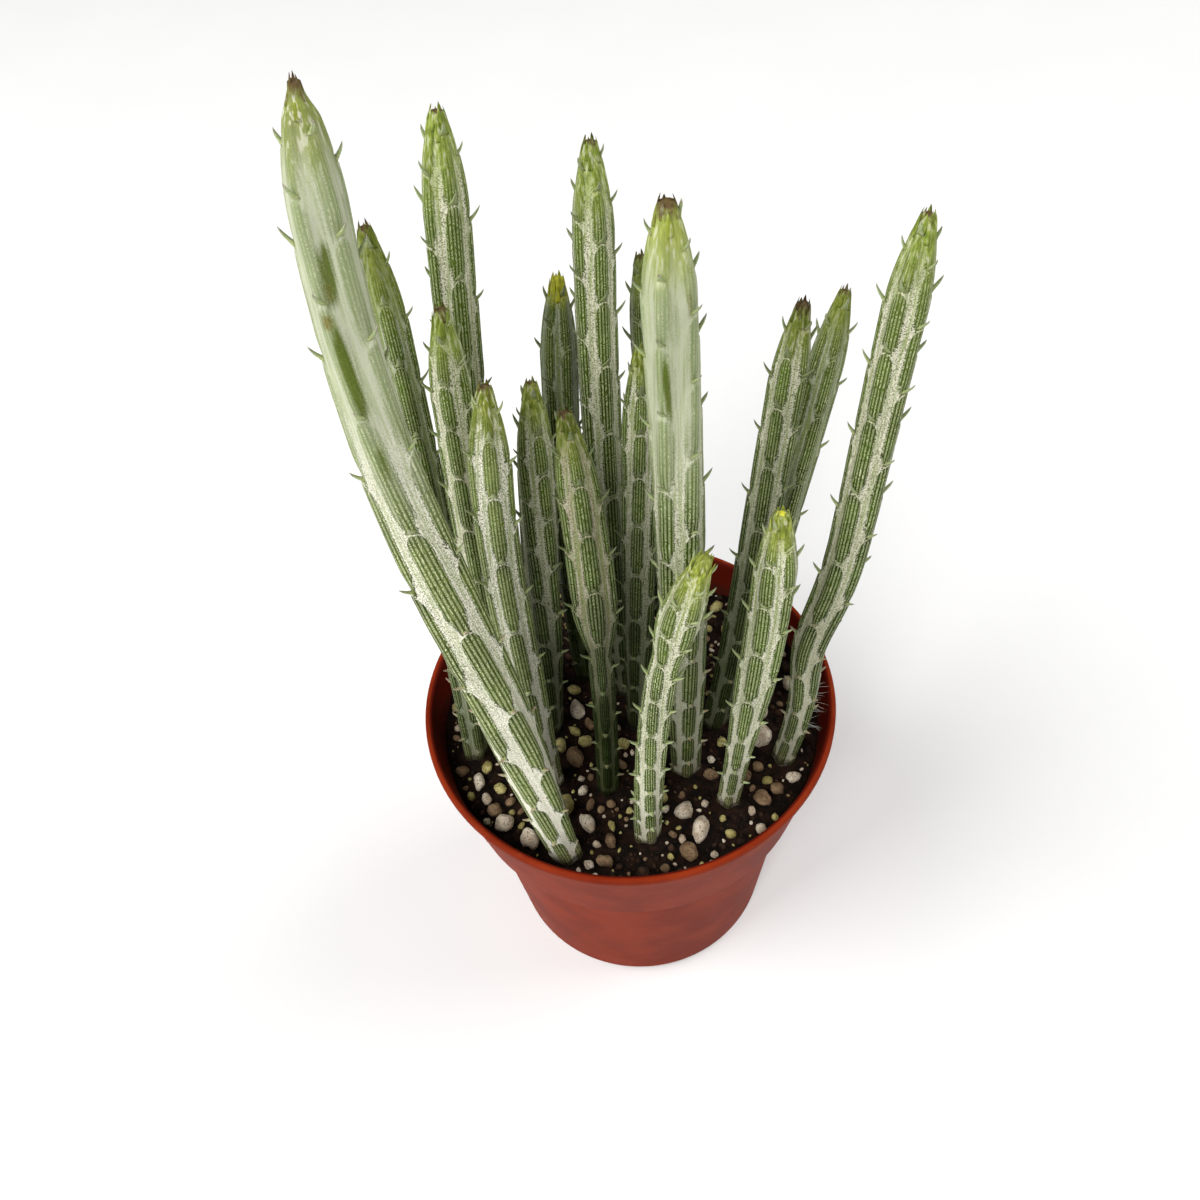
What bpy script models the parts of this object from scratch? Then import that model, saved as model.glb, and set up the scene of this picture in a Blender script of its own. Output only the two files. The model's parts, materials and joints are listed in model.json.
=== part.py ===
"""A potted pickle plant: a round plastic nursery pot, its soil, and upright succulent stems.

Each stem is one ribbed body. On every rib lies a stack of raised panels, and each panel ends at its top
in a small pointed leaf. The stems stand in plain holes in the soil. Lengths are metres unless a comment
says millimetres.
"""
import math
import random
from collections import namedtuple

import bmesh
import bpy
from mathutils import Matrix, Vector, noise

MM = 0.001
FULL_TURN = 2.0 * math.pi
GAP = 0.3 * MM
MERGE = 0.01 * MM

# Pot: the outside of its wall, from the lip down
POT_HEIGHT = 83 * MM
LIP_RADIUS = 50 * MM
LIP_BEAD_HEIGHT = 2.2 * MM
LIP_BEAD_DEPTH = 0.5 * MM
BAND_HEIGHT = 28 * MM
BAND_FOOT_RADIUS = 44 * MM
BODY_TOP_RADIUS = 41.2 * MM
BASE_RADIUS = 35 * MM
BASE_ROUNDING = 1.2 * MM
EDGE_ROUNDING = 0.42 * MM
WALL = 1.2 * MM
FLOOR = 1.5 * MM
POT_STEPS = 48

# Drainage holes round the pot's floor
DRAIN_COUNT = 6
DRAIN_RADIUS = 3.5 * MM
DRAIN_CIRCLE = 24 * MM
DRAIN_SIDES = 12
DRAIN_CUT = 9 * MM

# Soil: its level, and the lumps of its surface
SOIL_DEPTH_BELOW_LIP = 9 * MM
SOIL_LEVEL = POT_HEIGHT - SOIL_DEPTH_BELOW_LIP
SOIL_RINGS = 6
LUMP_HEIGHT = 1.1 * MM
LUMP_SIZE = 9 * MM
CRUMB_HEIGHT = 0.55 * MM
CRUMB_SIZE = 4 * MM
EDGE_DIP = 0.8 * MM
EDGE_DIP_POWER = 6

# Grains of pumice lying half sunk in the soil, thickest towards the rim on the left and in front
GRAIN_SEED = 11
GRAIN_COUNT = 42
GRAIN_SMALL = 1.5 * MM
GRAIN_LARGE = 3.4 * MM
GRAIN_FLATNESS = (0.6, 0.95)
GRAIN_ROUGHNESS = (0.86, 1.1)
GRAIN_TILT = 0.4
GRAIN_SUNK = 0.22
GRAIN_REACH = 1.15
GRAIN_THICK_SIDE = math.radians(210)
GRAIN_LEAST_CHANCE = 0.25
GRAIN_THIN_SIDE_CHANCE = 0.35
GRAIN_TRIES = 4000

# Stems: the part in the soil, and the rows of panels on the ribs. CREST, GROOVE and PLUG_SHARE are shares of
# the stem's radius at that height
STEM_BURIED = 10 * MM
PLUG_SHARE = 0.985
RIBS = 5
HOLE_SIDES = 12
HOLE_CUT = 30 * MM
PANEL_SHORT_AT_ENDS = 0.35
FIRST_PANEL_LEAST = 0.25
LAST_PANEL = 2.8 * MM
STEP_HEIGHT = 0.9 * MM
STEP_DROP = 0.3 * MM
CREST_TOP = 1.05
CREST_BOTTOM = 0.94
CREST_SIDE = 0.975
CREST_HALF_ANGLE = math.radians(12)
GROOVE = 0.85
SHARP_ANGLE = math.radians(35)

# Stems: the taper towards the top, and the blunt tip
TAPER_FROM = 0.45
TAPER_TO = 0.95
TIP_LENGTH = 20 * MM
TIP_WIDTH_SHARE = 0.20
TIP_FULLNESS = 0.95
CROWN_TOP = 1.0 * MM
CENTRE_SAMPLES = 48

# Leaves: how far each stands out of its rib, how steeply, and how much room it leaves
LEAF_SEED = 5
LEAF_REACH_LOW = 1.6 * MM
LEAF_REACH_HIGH = 3.0 * MM
LEAF_REACH_TIP = 2.2 * MM
LEAF_LENGTHENS = (0.1, 0.6)
LEAF_UNEVENNESS = 0.18
LEAF_SHORTEST = 0.6 * MM
LEAF_SHRINK = 0.8
LEAF_CLEARANCE = 0.6 * MM
LEAF_CLEARANCE_SHARE = 0.7
LEAF_ROOT_HEIGHT = 0.36 * MM
LEAF_RISE_LOW = math.radians(30)
LEAF_RISE_HIGH = math.radians(58)
LEAF_RISE_TIP = math.radians(84)
LEAF_STEEPENS = (0.0, 0.7)
LEAF_FREE_HEIGHT = 5 * MM

# One stem. foot, head, bow and sway are millimetres: where it leaves the soil, where it ends, how far its
# middle stands to the right of the straight line between them, and how far it bends first right and then left
# of that line. bend is a knee close to the soil: its height and length as shares of the stem's height, and
# millimetres to the right. low and high are its width across the ribs before and after it widens, and widens
# gives the stretch for that, as shares of its height: one below 0 starts in the soil. neck is a narrow place
# where one year's growth ends: its height and length as shares, and how much narrower it is. taper is the
# share of its width that it loses towards the top. facing turns the first rib away from the front, and twist
# turns the ribs from foot to tip, both in degrees. panel is the mean panel length in millimetres. The leaves
# climb in a spiral: spiral is how many fifths of a panel each rib's leaves stand above those of the rib on
# its left, and lead is how many fifths the first rib's leaves are raised.
Stem = namedtuple(
    "Stem",
    "name foot head bow low high widens facing twist panel spiral lead sway bend neck taper",
    defaults=(0.0, None, None, 0.06),
)

STEMS = (
    Stem(
        "stem_left_leaning", foot=(-18, -36), head=(-36.5, -21, 253), bow=-5.5, sway=1.6,
        low=6.4, high=11.2, widens=(-0.12, 0.3), taper=0.24,
        facing=74, twist=-115, panel=19.0, spiral=3, lead=0,
    ),
    Stem(
        "stem_left_behind", foot=(-38.8, -6), head=(-38, 9, 213), bow=1.2,
        low=6.6, high=7.8, widens=(0.0, 0.4),
        facing=30, twist=-20, panel=14.4, spiral=3, lead=4,
    ),
    Stem(
        "stem_back_left_tall", foot=(-32, 9), head=(-24, 22, 225), bow=-1.0,
        low=7.0, high=9.2, widens=(0.0, 0.4),
        facing=10, twist=16, panel=16.4, spiral=3, lead=4,
    ),
    Stem(
        "stem_back_left_short", foot=(-29.5, -6), head=(-27, 1, 201), bow=-0.8,
        low=6.2, high=8.2, widens=(0.0, 0.5),
        facing=0, twist=-18, panel=11.0, spiral=2, lead=2,
    ),
    Stem(
        "stem_front_left", foot=(-21, -17), head=(-21, -7, 190), bow=-2.3, sway=0.4,
        low=7.0, high=8.6, widens=(0.0, 0.4),
        facing=10, twist=-5, panel=14.9, spiral=2, lead=1,
    ),
    Stem(
        "stem_middle_left", foot=(-20, -1), head=(-14, 11, 175), bow=0.0,
        low=6.4, high=8.4, widens=(0.0, 0.4),
        facing=92, twist=-85, panel=10.8, spiral=3, lead=4,
    ),
    Stem(
        "stem_back_yellow_tip", foot=(-10, 15), head=(-7, 27, 187), bow=-1.7,
        low=6.6, high=8.2, widens=(0.0, 0.4),
        facing=30, twist=2, panel=15.1, spiral=3, lead=4,
    ),
    Stem(
        "stem_back_tall", foot=(-1, 9), head=(1, 24, 216), bow=-1.4,
        low=6.8, high=8.6, widens=(0.0, 0.4),
        facing=24, twist=-3, panel=12.7, spiral=3, lead=1,
    ),
    Stem(
        "stem_middle_necked", foot=(-7, -20), head=(-8, -10, 185), bow=1.6,
        low=5.4, high=10.0, widens=(0.41, 0.58), neck=(0.43, 0.022, 0.10), taper=0.2,
        facing=-8, twist=20, panel=12.5, spiral=2, lead=3,
    ),
    Stem(
        "stem_back_hidden", foot=(10, 15), head=(9, 27, 190), bow=1.0,
        low=6.4, high=7.6, widens=(0.0, 0.4),
        facing=12, twist=18, panel=13.5, spiral=3, lead=2,
    ),
    Stem(
        "stem_middle_slim", foot=(2, -2), head=(7, 9, 182), bow=0.0,
        low=6.0, high=7.6, widens=(0.0, 0.4),
        facing=-36, twist=40, panel=10.6, spiral=2, lead=0,
    ),
    Stem(
        "stem_pale_tall", foot=(12, -16), head=(10, -16, 228), bow=0.4,
        low=7.4, high=9.8, widens=(0.0, 0.35),
        facing=-70, twist=50, panel=14.7, spiral=2, lead=0,
    ),
    Stem(
        "stem_front_short", foot=(1, -33), head=(15, -28, 164), bow=-3.5, sway=0.4,
        low=6.7, high=8.7, widens=(0.68, 0.8), neck=(0.69, 0.035, 0.08), taper=0.0,
        facing=20, twist=-85, panel=8.3, spiral=3, lead=2,
    ),
    Stem(
        "stem_right_middle", foot=(20.5, -4), head=(37, 8, 190), bow=1.2, sway=0.3,
        low=6.6, high=8.0, widens=(0.0, 0.4),
        facing=5, twist=-46, panel=13.0, spiral=3, lead=0,
    ),
    Stem(
        "stem_right_back", foot=(29, 3), head=(47, 17, 185), bow=-1.6, sway=-0.5,
        low=6.6, high=7.8, widens=(0.0, 0.4),
        facing=20, twist=-15, panel=14.0, spiral=2, lead=4,
    ),
    Stem(
        "stem_right_short", foot=(21, -26), head=(30, -18, 163), bow=1.3, sway=-0.4,
        low=5.5, high=8.9, widens=(0.1, 0.55), taper=0.0,
        facing=-12, twist=-30, panel=11.2, spiral=2, lead=4,
    ),
    Stem(
        "stem_right_leaning", foot=(36, -16), head=(53, -4, 214), bow=2.0, sway=0.6, bend=(0.28, 0.11, -2.9),
        low=5.8, high=8.6, widens=(0.0, 0.45),
        facing=-40, twist=-3, panel=13.8, spiral=2, lead=4,
    ),
)


def clear_scene():
    """Removes what a new file starts with."""
    for thing in list(bpy.data.objects):
        bpy.data.objects.remove(thing)


def make_collection(name):
    """A collection linked to the scene."""
    collection = bpy.data.collections.new(name)
    bpy.context.scene.collection.children.link(collection)
    return collection


def make_material(name, colour, roughness, metallic=0.0):
    """A Principled material with the piece's colour, roughness and metallic value."""
    material = bpy.data.materials.new(name)
    material.use_nodes = True
    shader = material.node_tree.nodes["Principled BSDF"]
    shader.inputs["Base Color"].default_value = (*colour, 1.0)
    shader.inputs["Roughness"].default_value = roughness
    shader.inputs["Metallic"].default_value = metallic
    return material


def add_object(name, mesh, collection, material=None):
    """An object of this mesh in the collection."""
    thing = bpy.data.objects.new(name, mesh)
    collection.objects.link(thing)
    if material:
        mesh.materials.append(material)
    return thing


def bake(thing):
    """Applies the object's modifiers, by way of its evaluated mesh."""
    graph = bpy.context.evaluated_depsgraph_get()
    graph.update()
    mesh = bpy.data.meshes.new_from_object(thing.evaluated_get(graph))
    old = thing.data
    thing.modifiers.clear()
    thing.data = mesh
    bpy.data.meshes.remove(old)
    mesh.name = thing.name


def turned(name, profile, steps, collection, material=None):
    """A solid of revolution about Z, of a profile that starts and ends on the axis."""
    mesh = bpy.data.meshes.new(name)
    points = [(radius, 0.0, height) for radius, height in profile]
    edges = [(i, i + 1) for i in range(len(points) - 1)]
    mesh.from_pydata(points, edges, [])
    thing = add_object(name, mesh, collection, material)
    screw = thing.modifiers.new("turn", "SCREW")
    screw.axis = "Z"
    screw.angle = FULL_TURN
    screw.steps = steps
    screw.render_steps = steps
    screw.use_merge_vertices = True
    screw.merge_threshold = MERGE
    screw.use_smooth_shade = True
    return thing


def cut(thing, cutters):
    """Cuts every object of the cutters' collection out of the thing."""
    boolean = thing.modifiers.new("cut", "BOOLEAN")
    boolean.operation = "DIFFERENCE"
    boolean.operand_type = "COLLECTION"
    boolean.collection = cutters
    boolean.solver = "EXACT"


def cylinder_mesh(name, radius, length, sides):
    """A closed cylinder along Z, centred on the origin."""
    mesh = bpy.data.meshes.new(name)
    work = bmesh.new()
    bmesh.ops.create_cone(
        work, cap_ends=True, cap_tris=False, segments=sides, radius1=radius, radius2=radius, depth=length
    )
    work.to_mesh(mesh)
    work.free()
    return mesh


def add_cutter(name, mesh, place, cutters):
    """A cutter: never rendered, drawn as wire."""
    cutter = add_object(name, mesh, cutters)
    cutter.matrix_world = place
    cutter.hide_render = True
    cutter.display_type = "WIRE"
    return cutter


def wall_outside(height):
    """Radius of the pot's outside at a height, without the lip's bead."""
    band_foot = POT_HEIGHT - BAND_HEIGHT
    if height >= band_foot:
        share = (height - band_foot) / BAND_HEIGHT
        return BAND_FOOT_RADIUS + share * (LIP_RADIUS - LIP_BEAD_DEPTH - BAND_FOOT_RADIUS)
    return BASE_RADIUS + height / band_foot * (BODY_TOP_RADIUS - BASE_RADIUS)


def wall_inside(height):
    """Radius of the pot's inside at a height. The step lies one wall higher inside than outside."""
    step = POT_HEIGHT - BAND_HEIGHT + WALL
    if height >= step:
        return wall_outside(height) - WALL
    return min(wall_outside(height), BODY_TOP_RADIUS) - WALL


def pot_profile():
    """From the middle of the floor up the inside, over the lip and down the outside to the axis."""
    band_foot = POT_HEIGHT - BAND_HEIGHT
    step = band_foot + WALL
    bead_foot = POT_HEIGHT - LIP_BEAD_HEIGHT
    edge = EDGE_ROUNDING
    return (
        (0.0, FLOOR),
        (wall_inside(FLOOR) - BASE_ROUNDING, FLOOR),
        (wall_inside(FLOOR + BASE_ROUNDING), FLOOR + BASE_ROUNDING),
        (BODY_TOP_RADIUS - WALL, step - WALL),
        (wall_inside(step), step),
        (wall_inside(POT_HEIGHT - edge), POT_HEIGHT - edge),
        (wall_inside(POT_HEIGHT) + edge, POT_HEIGHT),
        (LIP_RADIUS - edge, POT_HEIGHT),
        (LIP_RADIUS, POT_HEIGHT - edge),
        (LIP_RADIUS, bead_foot + edge),
        (wall_outside(bead_foot), bead_foot),
        (wall_outside(band_foot + edge), band_foot + edge),
        (BAND_FOOT_RADIUS - edge, band_foot),
        (BODY_TOP_RADIUS, band_foot - edge),
        (wall_outside(BASE_ROUNDING), BASE_ROUNDING),
        (BASE_RADIUS - BASE_ROUNDING, 0.0),
        (0.0, 0.0),
    )


def make_pot(collection, cutters):
    """The pot, with its drainage holes cut through the floor."""
    plastic = make_material("pot_plastic", (0.50, 0.13, 0.06), 0.35)
    pot = turned("pot", pot_profile(), POT_STEPS, collection, plastic)
    hole = cylinder_mesh("drain_hole", DRAIN_RADIUS, DRAIN_CUT, DRAIN_SIDES)
    for i in range(DRAIN_COUNT):
        angle = FULL_TURN * i / DRAIN_COUNT
        place = Vector((DRAIN_CIRCLE * math.cos(angle), DRAIN_CIRCLE * math.sin(angle), 0.0))
        add_cutter(f"drain_hole_{i + 1}", hole, Matrix.Translation(place), cutters)
    cut(pot, cutters)
    return pot


def smooth_step(low, high, value):
    """0 below low, 1 above high, and smooth between them."""
    share = min(1.0, max(0.0, (value - low) / (high - low)))
    return share * share * (3.0 - 2.0 * share)


class Growth:
    """Where one stem's centreline, ribs, panels and leaves lie.

    A share is a height on the stem, from 0 at the soil to 1 at the tip.
    """

    def __init__(self, stem):
        self.stem = stem
        self.foot = Vector((stem.foot[0], stem.foot[1], SOIL_LEVEL / MM)) * MM
        self.rise = Vector(stem.head) * MM - self.foot
        self.samples = [self.centre(i / CENTRE_SAMPLES) for i in range(CENTRE_SAMPLES + 1)]
        self.length = sum((b - a).length for a, b in zip(self.samples, self.samples[1:]))
        self.panels = (self.length - LAST_PANEL) / (stem.panel * MM)
        self.rows = int(self.panels - FIRST_PANEL_LEAST)

    def centre(self, share):
        """Point of the centreline at a share of the stem's height."""
        stem = self.stem
        right = stem.bow * 4.0 * share * (1.0 - share) + stem.sway * math.sin(FULL_TURN * share)
        if stem.bend:
            height, length, knee = stem.bend
            right += knee * math.exp(-(((share - height) / length) ** 2))
        return self.foot + self.rise * share + Vector((right * MM, 0.0, 0.0))

    def along(self, share):
        """Direction of the centreline at a share of the stem's height."""
        step = 0.5 / CENTRE_SAMPLES
        return (self.centre(share + step) - self.centre(share - step)).normalized()

    def out(self, share, angle):
        """Direction straight out of the stem: angle 0 faces the front, and it grows to the right."""
        along = self.along(share)
        right = (Vector((1.0, 0.0, 0.0)) - along * along.x).normalized()
        back = along.cross(right)
        return right * math.sin(angle) - back * math.cos(angle)

    def radius(self, share):
        """Half the width across the ribs at a share of the height."""
        stem = self.stem
        wide = smooth_step(stem.widens[0], stem.widens[1], share)
        tapered = 1.0 - stem.taper * smooth_step(TAPER_FROM, TAPER_TO, share)
        width = (stem.low + (stem.high - stem.low) * wide) * tapered * MM
        if stem.neck:
            height, length, depth = stem.neck
            width *= 1.0 - depth * math.exp(-(((share - height) / length) ** 2))
        below_tip = max(0.0, (1.0 - share) * self.length / TIP_LENGTH)
        rounding = math.sin(0.5 * math.pi * min(1.0, below_tip)) ** TIP_FULLNESS
        return 0.5 * width * (TIP_WIDTH_SHARE + (1.0 - TIP_WIDTH_SHARE) * rounding)

    def rib_angle(self, rib, share):
        """Angle of a rib's crest at a share of the height. A half, such as 0.5, gives a groove."""
        stem = self.stem
        return math.radians(stem.facing + stem.twist * share) + FULL_TURN * rib / RIBS

    def panel_top(self, rib, row):
        """Height, as a share, of the top of a rib's panel. Neighbouring ribs are about half a panel apart."""
        shift = (self.stem.spiral * rib + self.stem.lead) % RIBS / RIBS
        count = (row - self.rows + shift) / self.panels + 1.0
        eased = count - PANEL_SHORT_AT_ENDS * math.sin(FULL_TURN * count) / FULL_TURN
        return eased * (1.0 - LAST_PANEL / self.length)

    def point(self, share, angle, radius):
        """Point at a height, direction and distance from the centreline."""
        return self.centre(share) + self.out(share, angle) * radius

    def near_tip(self, share):
        """0 below the tapered tip, and 1 at its end."""
        return 1.0 - smooth_step(0.0, TIP_LENGTH, (1.0 - share) * self.length)

    def leaf_rise(self, share):
        """How steeply a leaf stands: flat near the soil, upright at the tip."""
        rise = LEAF_RISE_LOW + (LEAF_RISE_HIGH - LEAF_RISE_LOW) * smooth_step(*LEAF_STEEPENS, share)
        return rise + (LEAF_RISE_TIP - rise) * self.near_tip(share)

    def leaf_reach(self, share):
        """How far a leaf stands out: short near the soil, where old leaves have dried, and at the tip."""
        if share * self.length < LEAF_FREE_HEIGHT:
            return LEAF_SHORTEST
        reach = LEAF_REACH_LOW + (LEAF_REACH_HIGH - LEAF_REACH_LOW) * smooth_step(*LEAF_LENGTHENS, share)
        return reach + (LEAF_REACH_TIP - reach) * self.near_tip(share)


def room_left(point, own, growths):
    """Distance from a point to the surface of the nearest other stem."""
    nearest = LIP_RADIUS
    for other in growths:
        if other is own:
            continue
        for i, sample in enumerate(other.samples):
            distance = (point - sample).length - CREST_TOP * other.radius(i / CENTRE_SAMPLES)
            nearest = min(nearest, distance)
    return nearest


def leaf_tip(growth, rib, share, unevenness, growths):
    """Tip of a leaf: as far out as it can reach and leave its neighbours and the pot clear."""
    angle = growth.rib_angle(rib, share)
    out = growth.out(share, angle)
    rise = growth.leaf_rise(share)
    toward = out * math.cos(rise) + growth.along(share) * math.sin(rise)
    root = growth.point(share + LEAF_ROOT_HEIGHT / growth.length, angle, growth.radius(share))
    reach = growth.leaf_reach(share) * (1.0 + unevenness)
    while reach > LEAF_SHORTEST:
        tip = root + toward * reach
        wall_room = wall_inside(POT_HEIGHT) - math.hypot(tip.x, tip.y)
        by_wall = tip.z < POT_HEIGHT + LEAF_CLEARANCE and wall_room < 2 * LEAF_CLEARANCE
        room_wanted = max(LEAF_CLEARANCE, LEAF_CLEARANCE_SHARE * reach)
        if room_left(tip, growth, growths) > room_wanted and not by_wall:
            break
        reach *= LEAF_SHRINK
    return root + toward * max(reach, LEAF_SHORTEST)


def ring(work, growth, share, scale, drop=0.0):
    """A ring of four vertices a rib: crest side, crest, crest side, groove. drop lowers it."""
    made = []
    for rib in range(RIBS):
        angle = growth.rib_angle(rib, share)
        groove = growth.rib_angle(rib + 0.5, share)
        down = growth.along(share) * drop
        for turn in (angle - CREST_HALF_ANGLE, angle, angle + CREST_HALF_ANGLE, groove):
            made.append(work.verts.new(growth.point(share, turn, growth.radius(share) * scale) - down))
    return made


def join_rings(work, lower, upper):
    """Quads between two rings of the same length."""
    count = len(lower)
    for i in range(count):
        j = (i + 1) % count
        work.faces.new((lower[i], lower[j], upper[j], upper[i]))


def panel_row(work, growth, row, below, draw, growths):
    """One row of panels up from the ring below, with their leaves. Gives the ring that it ends in."""
    tops = [growth.panel_top(rib, row) for rib in range(RIBS)]
    step = STEP_HEIGHT / growth.length
    drop = STEP_DROP / growth.length
    rim, shoulders = [], []
    for rib in range(RIBS):
        share = tops[rib]
        radius = growth.radius(share)
        angle = growth.rib_angle(rib, share)
        left = work.verts.new(growth.point(share, angle - CREST_HALF_ANGLE, radius * CREST_SIDE))
        shoulder = work.verts.new(growth.point(share - drop, angle, radius * CREST_TOP))
        above = share + step
        foot = work.verts.new(
            growth.point(above, growth.rib_angle(rib, above), growth.radius(above) * CREST_BOTTOM)
        )
        right = work.verts.new(growth.point(share, angle + CREST_HALF_ANGLE, radius * CREST_SIDE))
        between = 0.5 * (share + tops[(rib + 1) % RIBS])
        groove = work.verts.new(
            growth.point(between, growth.rib_angle(rib + 0.5, between), growth.radius(between) * GROOVE)
        )
        unevenness = draw.uniform(-LEAF_UNEVENNESS, LEAF_UNEVENNESS)
        tip = work.verts.new(leaf_tip(growth, rib, share, unevenness, growths))
        for a, b in ((left, shoulder), (shoulder, right), (right, foot), (foot, left)):
            work.faces.new((a, b, tip))
        rim += [left, foot, right, groove]
        shoulders += [left, shoulder, right, groove]
    join_rings(work, below, shoulders)
    return rim


def make_stem(growth, growths, collection, material):
    """One stem: a plain round plug in the soil, rows of panels with their leaves, and a blunt tip."""
    draw = random.Random(LEAF_SEED)
    work = bmesh.new()
    bottom = ring(work, growth, 0.0, PLUG_SHARE, STEM_BURIED)
    current = ring(work, growth, 0.0, PLUG_SHARE)
    work.faces.new(list(reversed(bottom)))
    join_rings(work, bottom, current)
    for row in range(growth.rows):
        current = panel_row(work, growth, row, current, draw, growths)
    crown = ring(work, growth, 1.0 - CROWN_TOP / growth.length, 1.0)
    join_rings(work, current, crown)
    apex = work.verts.new(growth.centre(1.0))
    for i, vertex in enumerate(crown):
        work.faces.new((vertex, crown[(i + 1) % len(crown)], apex))
    bmesh.ops.triangulate(work, faces=[face for face in work.faces if len(face.verts) == 4])
    bmesh.ops.recalc_face_normals(work, faces=work.faces)
    mesh = bpy.data.meshes.new(growth.stem.name)
    work.to_mesh(mesh)
    work.free()
    mesh.shade_smooth()
    mesh.set_sharp_from_angle(angle=SHARP_ANGLE)
    return add_object(growth.stem.name, mesh, collection, material)


def soil_height(x, y):
    """Height of the soil's lumpy surface, which dips a little where it meets the pot."""
    spot = Vector((x, y, 0.0))
    lumps = LUMP_HEIGHT * noise.noise(spot / LUMP_SIZE) + CRUMB_HEIGHT * noise.noise(spot / CRUMB_SIZE)
    to_edge = math.hypot(x, y) / wall_inside(SOIL_LEVEL)
    return SOIL_LEVEL + lumps - EDGE_DIP * to_edge**EDGE_DIP_POWER


def soil_profile():
    """Rings of the top surface, then down the pot's inside to its floor."""
    outer = wall_inside(SOIL_LEVEL) - GAP
    step = POT_HEIGHT - BAND_HEIGHT + WALL
    points = [(outer * i / SOIL_RINGS, SOIL_LEVEL) for i in range(SOIL_RINGS)]
    points += [
        (outer, SOIL_LEVEL),
        (wall_inside(step) - GAP, step + GAP),
        (BODY_TOP_RADIUS - WALL - GAP, step - WALL + GAP),
        (wall_inside(FLOOR + BASE_ROUNDING) - 2 * GAP, FLOOR + BASE_ROUNDING + GAP),
        (wall_inside(FLOOR) - BASE_ROUNDING - 2 * GAP, FLOOR + GAP),
        (0.0, FLOOR + GAP),
    ]
    return points


def grain_chance(distance, angle, room):
    """How likely a grain is to lie at a spot: most likely by the rim, on the thick side."""
    side = max(0.0, math.cos(angle - GRAIN_THICK_SIDE))
    by_side = GRAIN_THIN_SIDE_CHANCE + (1.0 - GRAIN_THIN_SIDE_CHANCE) * side
    return GRAIN_LEAST_CHANCE + (1.0 - GRAIN_LEAST_CHANCE) * by_side * (distance / room) ** 2


def clear_of_stems(spot, size, growths):
    """Whether a grain at a spot leaves every stem's lower part clear."""
    for growth in growths:
        room_wanted = size * GRAIN_REACH + growth.radius(0.0) * CREST_TOP + 3 * GAP
        low = growth.samples[: CENTRE_SAMPLES // 6]
        if min((spot - sample).length for sample in low) < room_wanted:
            return False
    return True


def grain_places(growths):
    """Seeded places and sizes for the grains, clear of each other, the stems and the wall."""
    draw = random.Random(GRAIN_SEED)
    room = wall_inside(SOIL_LEVEL) - 2 * GAP
    places = []
    for _ in range(GRAIN_TRIES):
        if len(places) == GRAIN_COUNT:
            break
        size = draw.uniform(GRAIN_SMALL, GRAIN_LARGE)
        distance = room * math.sqrt(draw.random())
        angle = draw.uniform(0.0, FULL_TURN)
        wanted = draw.random() < grain_chance(distance, angle, room)
        x, y = distance * math.cos(angle), distance * math.sin(angle)
        inside = distance + size * GRAIN_REACH < room
        apart = all(math.hypot(x - a, y - b) > size + other for a, b, other in places)
        if wanted and inside and apart and clear_of_stems(Vector((x, y, SOIL_LEVEL)), size, growths):
            places.append((x, y, size))
    return places


def add_grains(soil, growths):
    """Fuses the grains into the soil's surface."""
    draw = random.Random(GRAIN_SEED)
    pile = make_collection("grains")
    for i, (x, y, size) in enumerate(grain_places(growths)):
        mesh = bpy.data.meshes.new(f"grain_{i + 1}")
        work = bmesh.new()
        bmesh.ops.create_icosphere(work, subdivisions=1, radius=1.0)
        for vertex in work.verts:
            vertex.co *= draw.uniform(*GRAIN_ROUGHNESS)
        work.to_mesh(mesh)
        work.free()
        grain = add_object(mesh.name, mesh, pile)
        flat = draw.uniform(*GRAIN_FLATNESS)
        wide = draw.uniform(*GRAIN_FLATNESS)
        turn = Matrix.Rotation(draw.uniform(0.0, FULL_TURN), 4, "Z")
        tilt = Matrix.Rotation(draw.uniform(-GRAIN_TILT, GRAIN_TILT), 4, "X")
        height = soil_height(x, y) + size * flat * (1.0 - 2.0 * GRAIN_SUNK)
        squash = Matrix.Diagonal((size, size * wide, size * flat, 1.0))
        grain.matrix_world = Matrix.Translation((x, y, height)) @ turn @ tilt @ squash
    boolean = soil.modifiers.new("grains", "BOOLEAN")
    boolean.operation = "UNION"
    boolean.operand_type = "COLLECTION"
    boolean.collection = pile
    boolean.solver = "EXACT"
    bake(soil)
    for thing in list(pile.objects):
        bpy.data.objects.remove(thing)
    bpy.data.collections.remove(pile)


def make_soil(collection, cutters, growths):
    """The soil that fills the pot, with lumps, grains and a plain hole for each stem."""
    earth = make_material("soil_mix", (0.035, 0.020, 0.016), 0.95)
    soil = turned("soil", soil_profile(), POT_STEPS, collection, earth)
    bake(soil)
    for vertex in soil.data.vertices:
        x, y, z = vertex.co
        if z > SOIL_LEVEL - GAP:
            vertex.co.z = soil_height(x, y)
    add_grains(soil, growths)
    for growth in growths:
        along = growth.along(0.0)
        radius = growth.radius(0.0) / math.cos(math.pi / HOLE_SIDES) + GAP
        bottom = growth.foot - along * (STEM_BURIED + GAP)
        mesh = cylinder_mesh(f"hole_{growth.stem.name}", radius, HOLE_CUT, HOLE_SIDES)
        turn = Vector((0.0, 0.0, 1.0)).rotation_difference(along).to_matrix().to_4x4()
        place = Matrix.Translation(bottom + along * (0.5 * HOLE_CUT)) @ turn
        add_cutter(f"hole_{growth.stem.name}", mesh, place, cutters)
    cut(soil, cutters)
    return soil


def main():
    clear_scene()
    plant = make_collection("potted_pickle_plant")
    drain_cutters = make_collection("pot_cutters")
    hole_cutters = make_collection("soil_cutters")
    growths = [Growth(stem) for stem in STEMS]
    make_pot(plant, drain_cutters)
    make_soil(plant, hole_cutters, growths)
    skin = make_material("stem_skin", (0.20, 0.30, 0.12), 0.5)
    for growth in growths:
        make_stem(growth, growths, plant, skin)


main()
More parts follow.
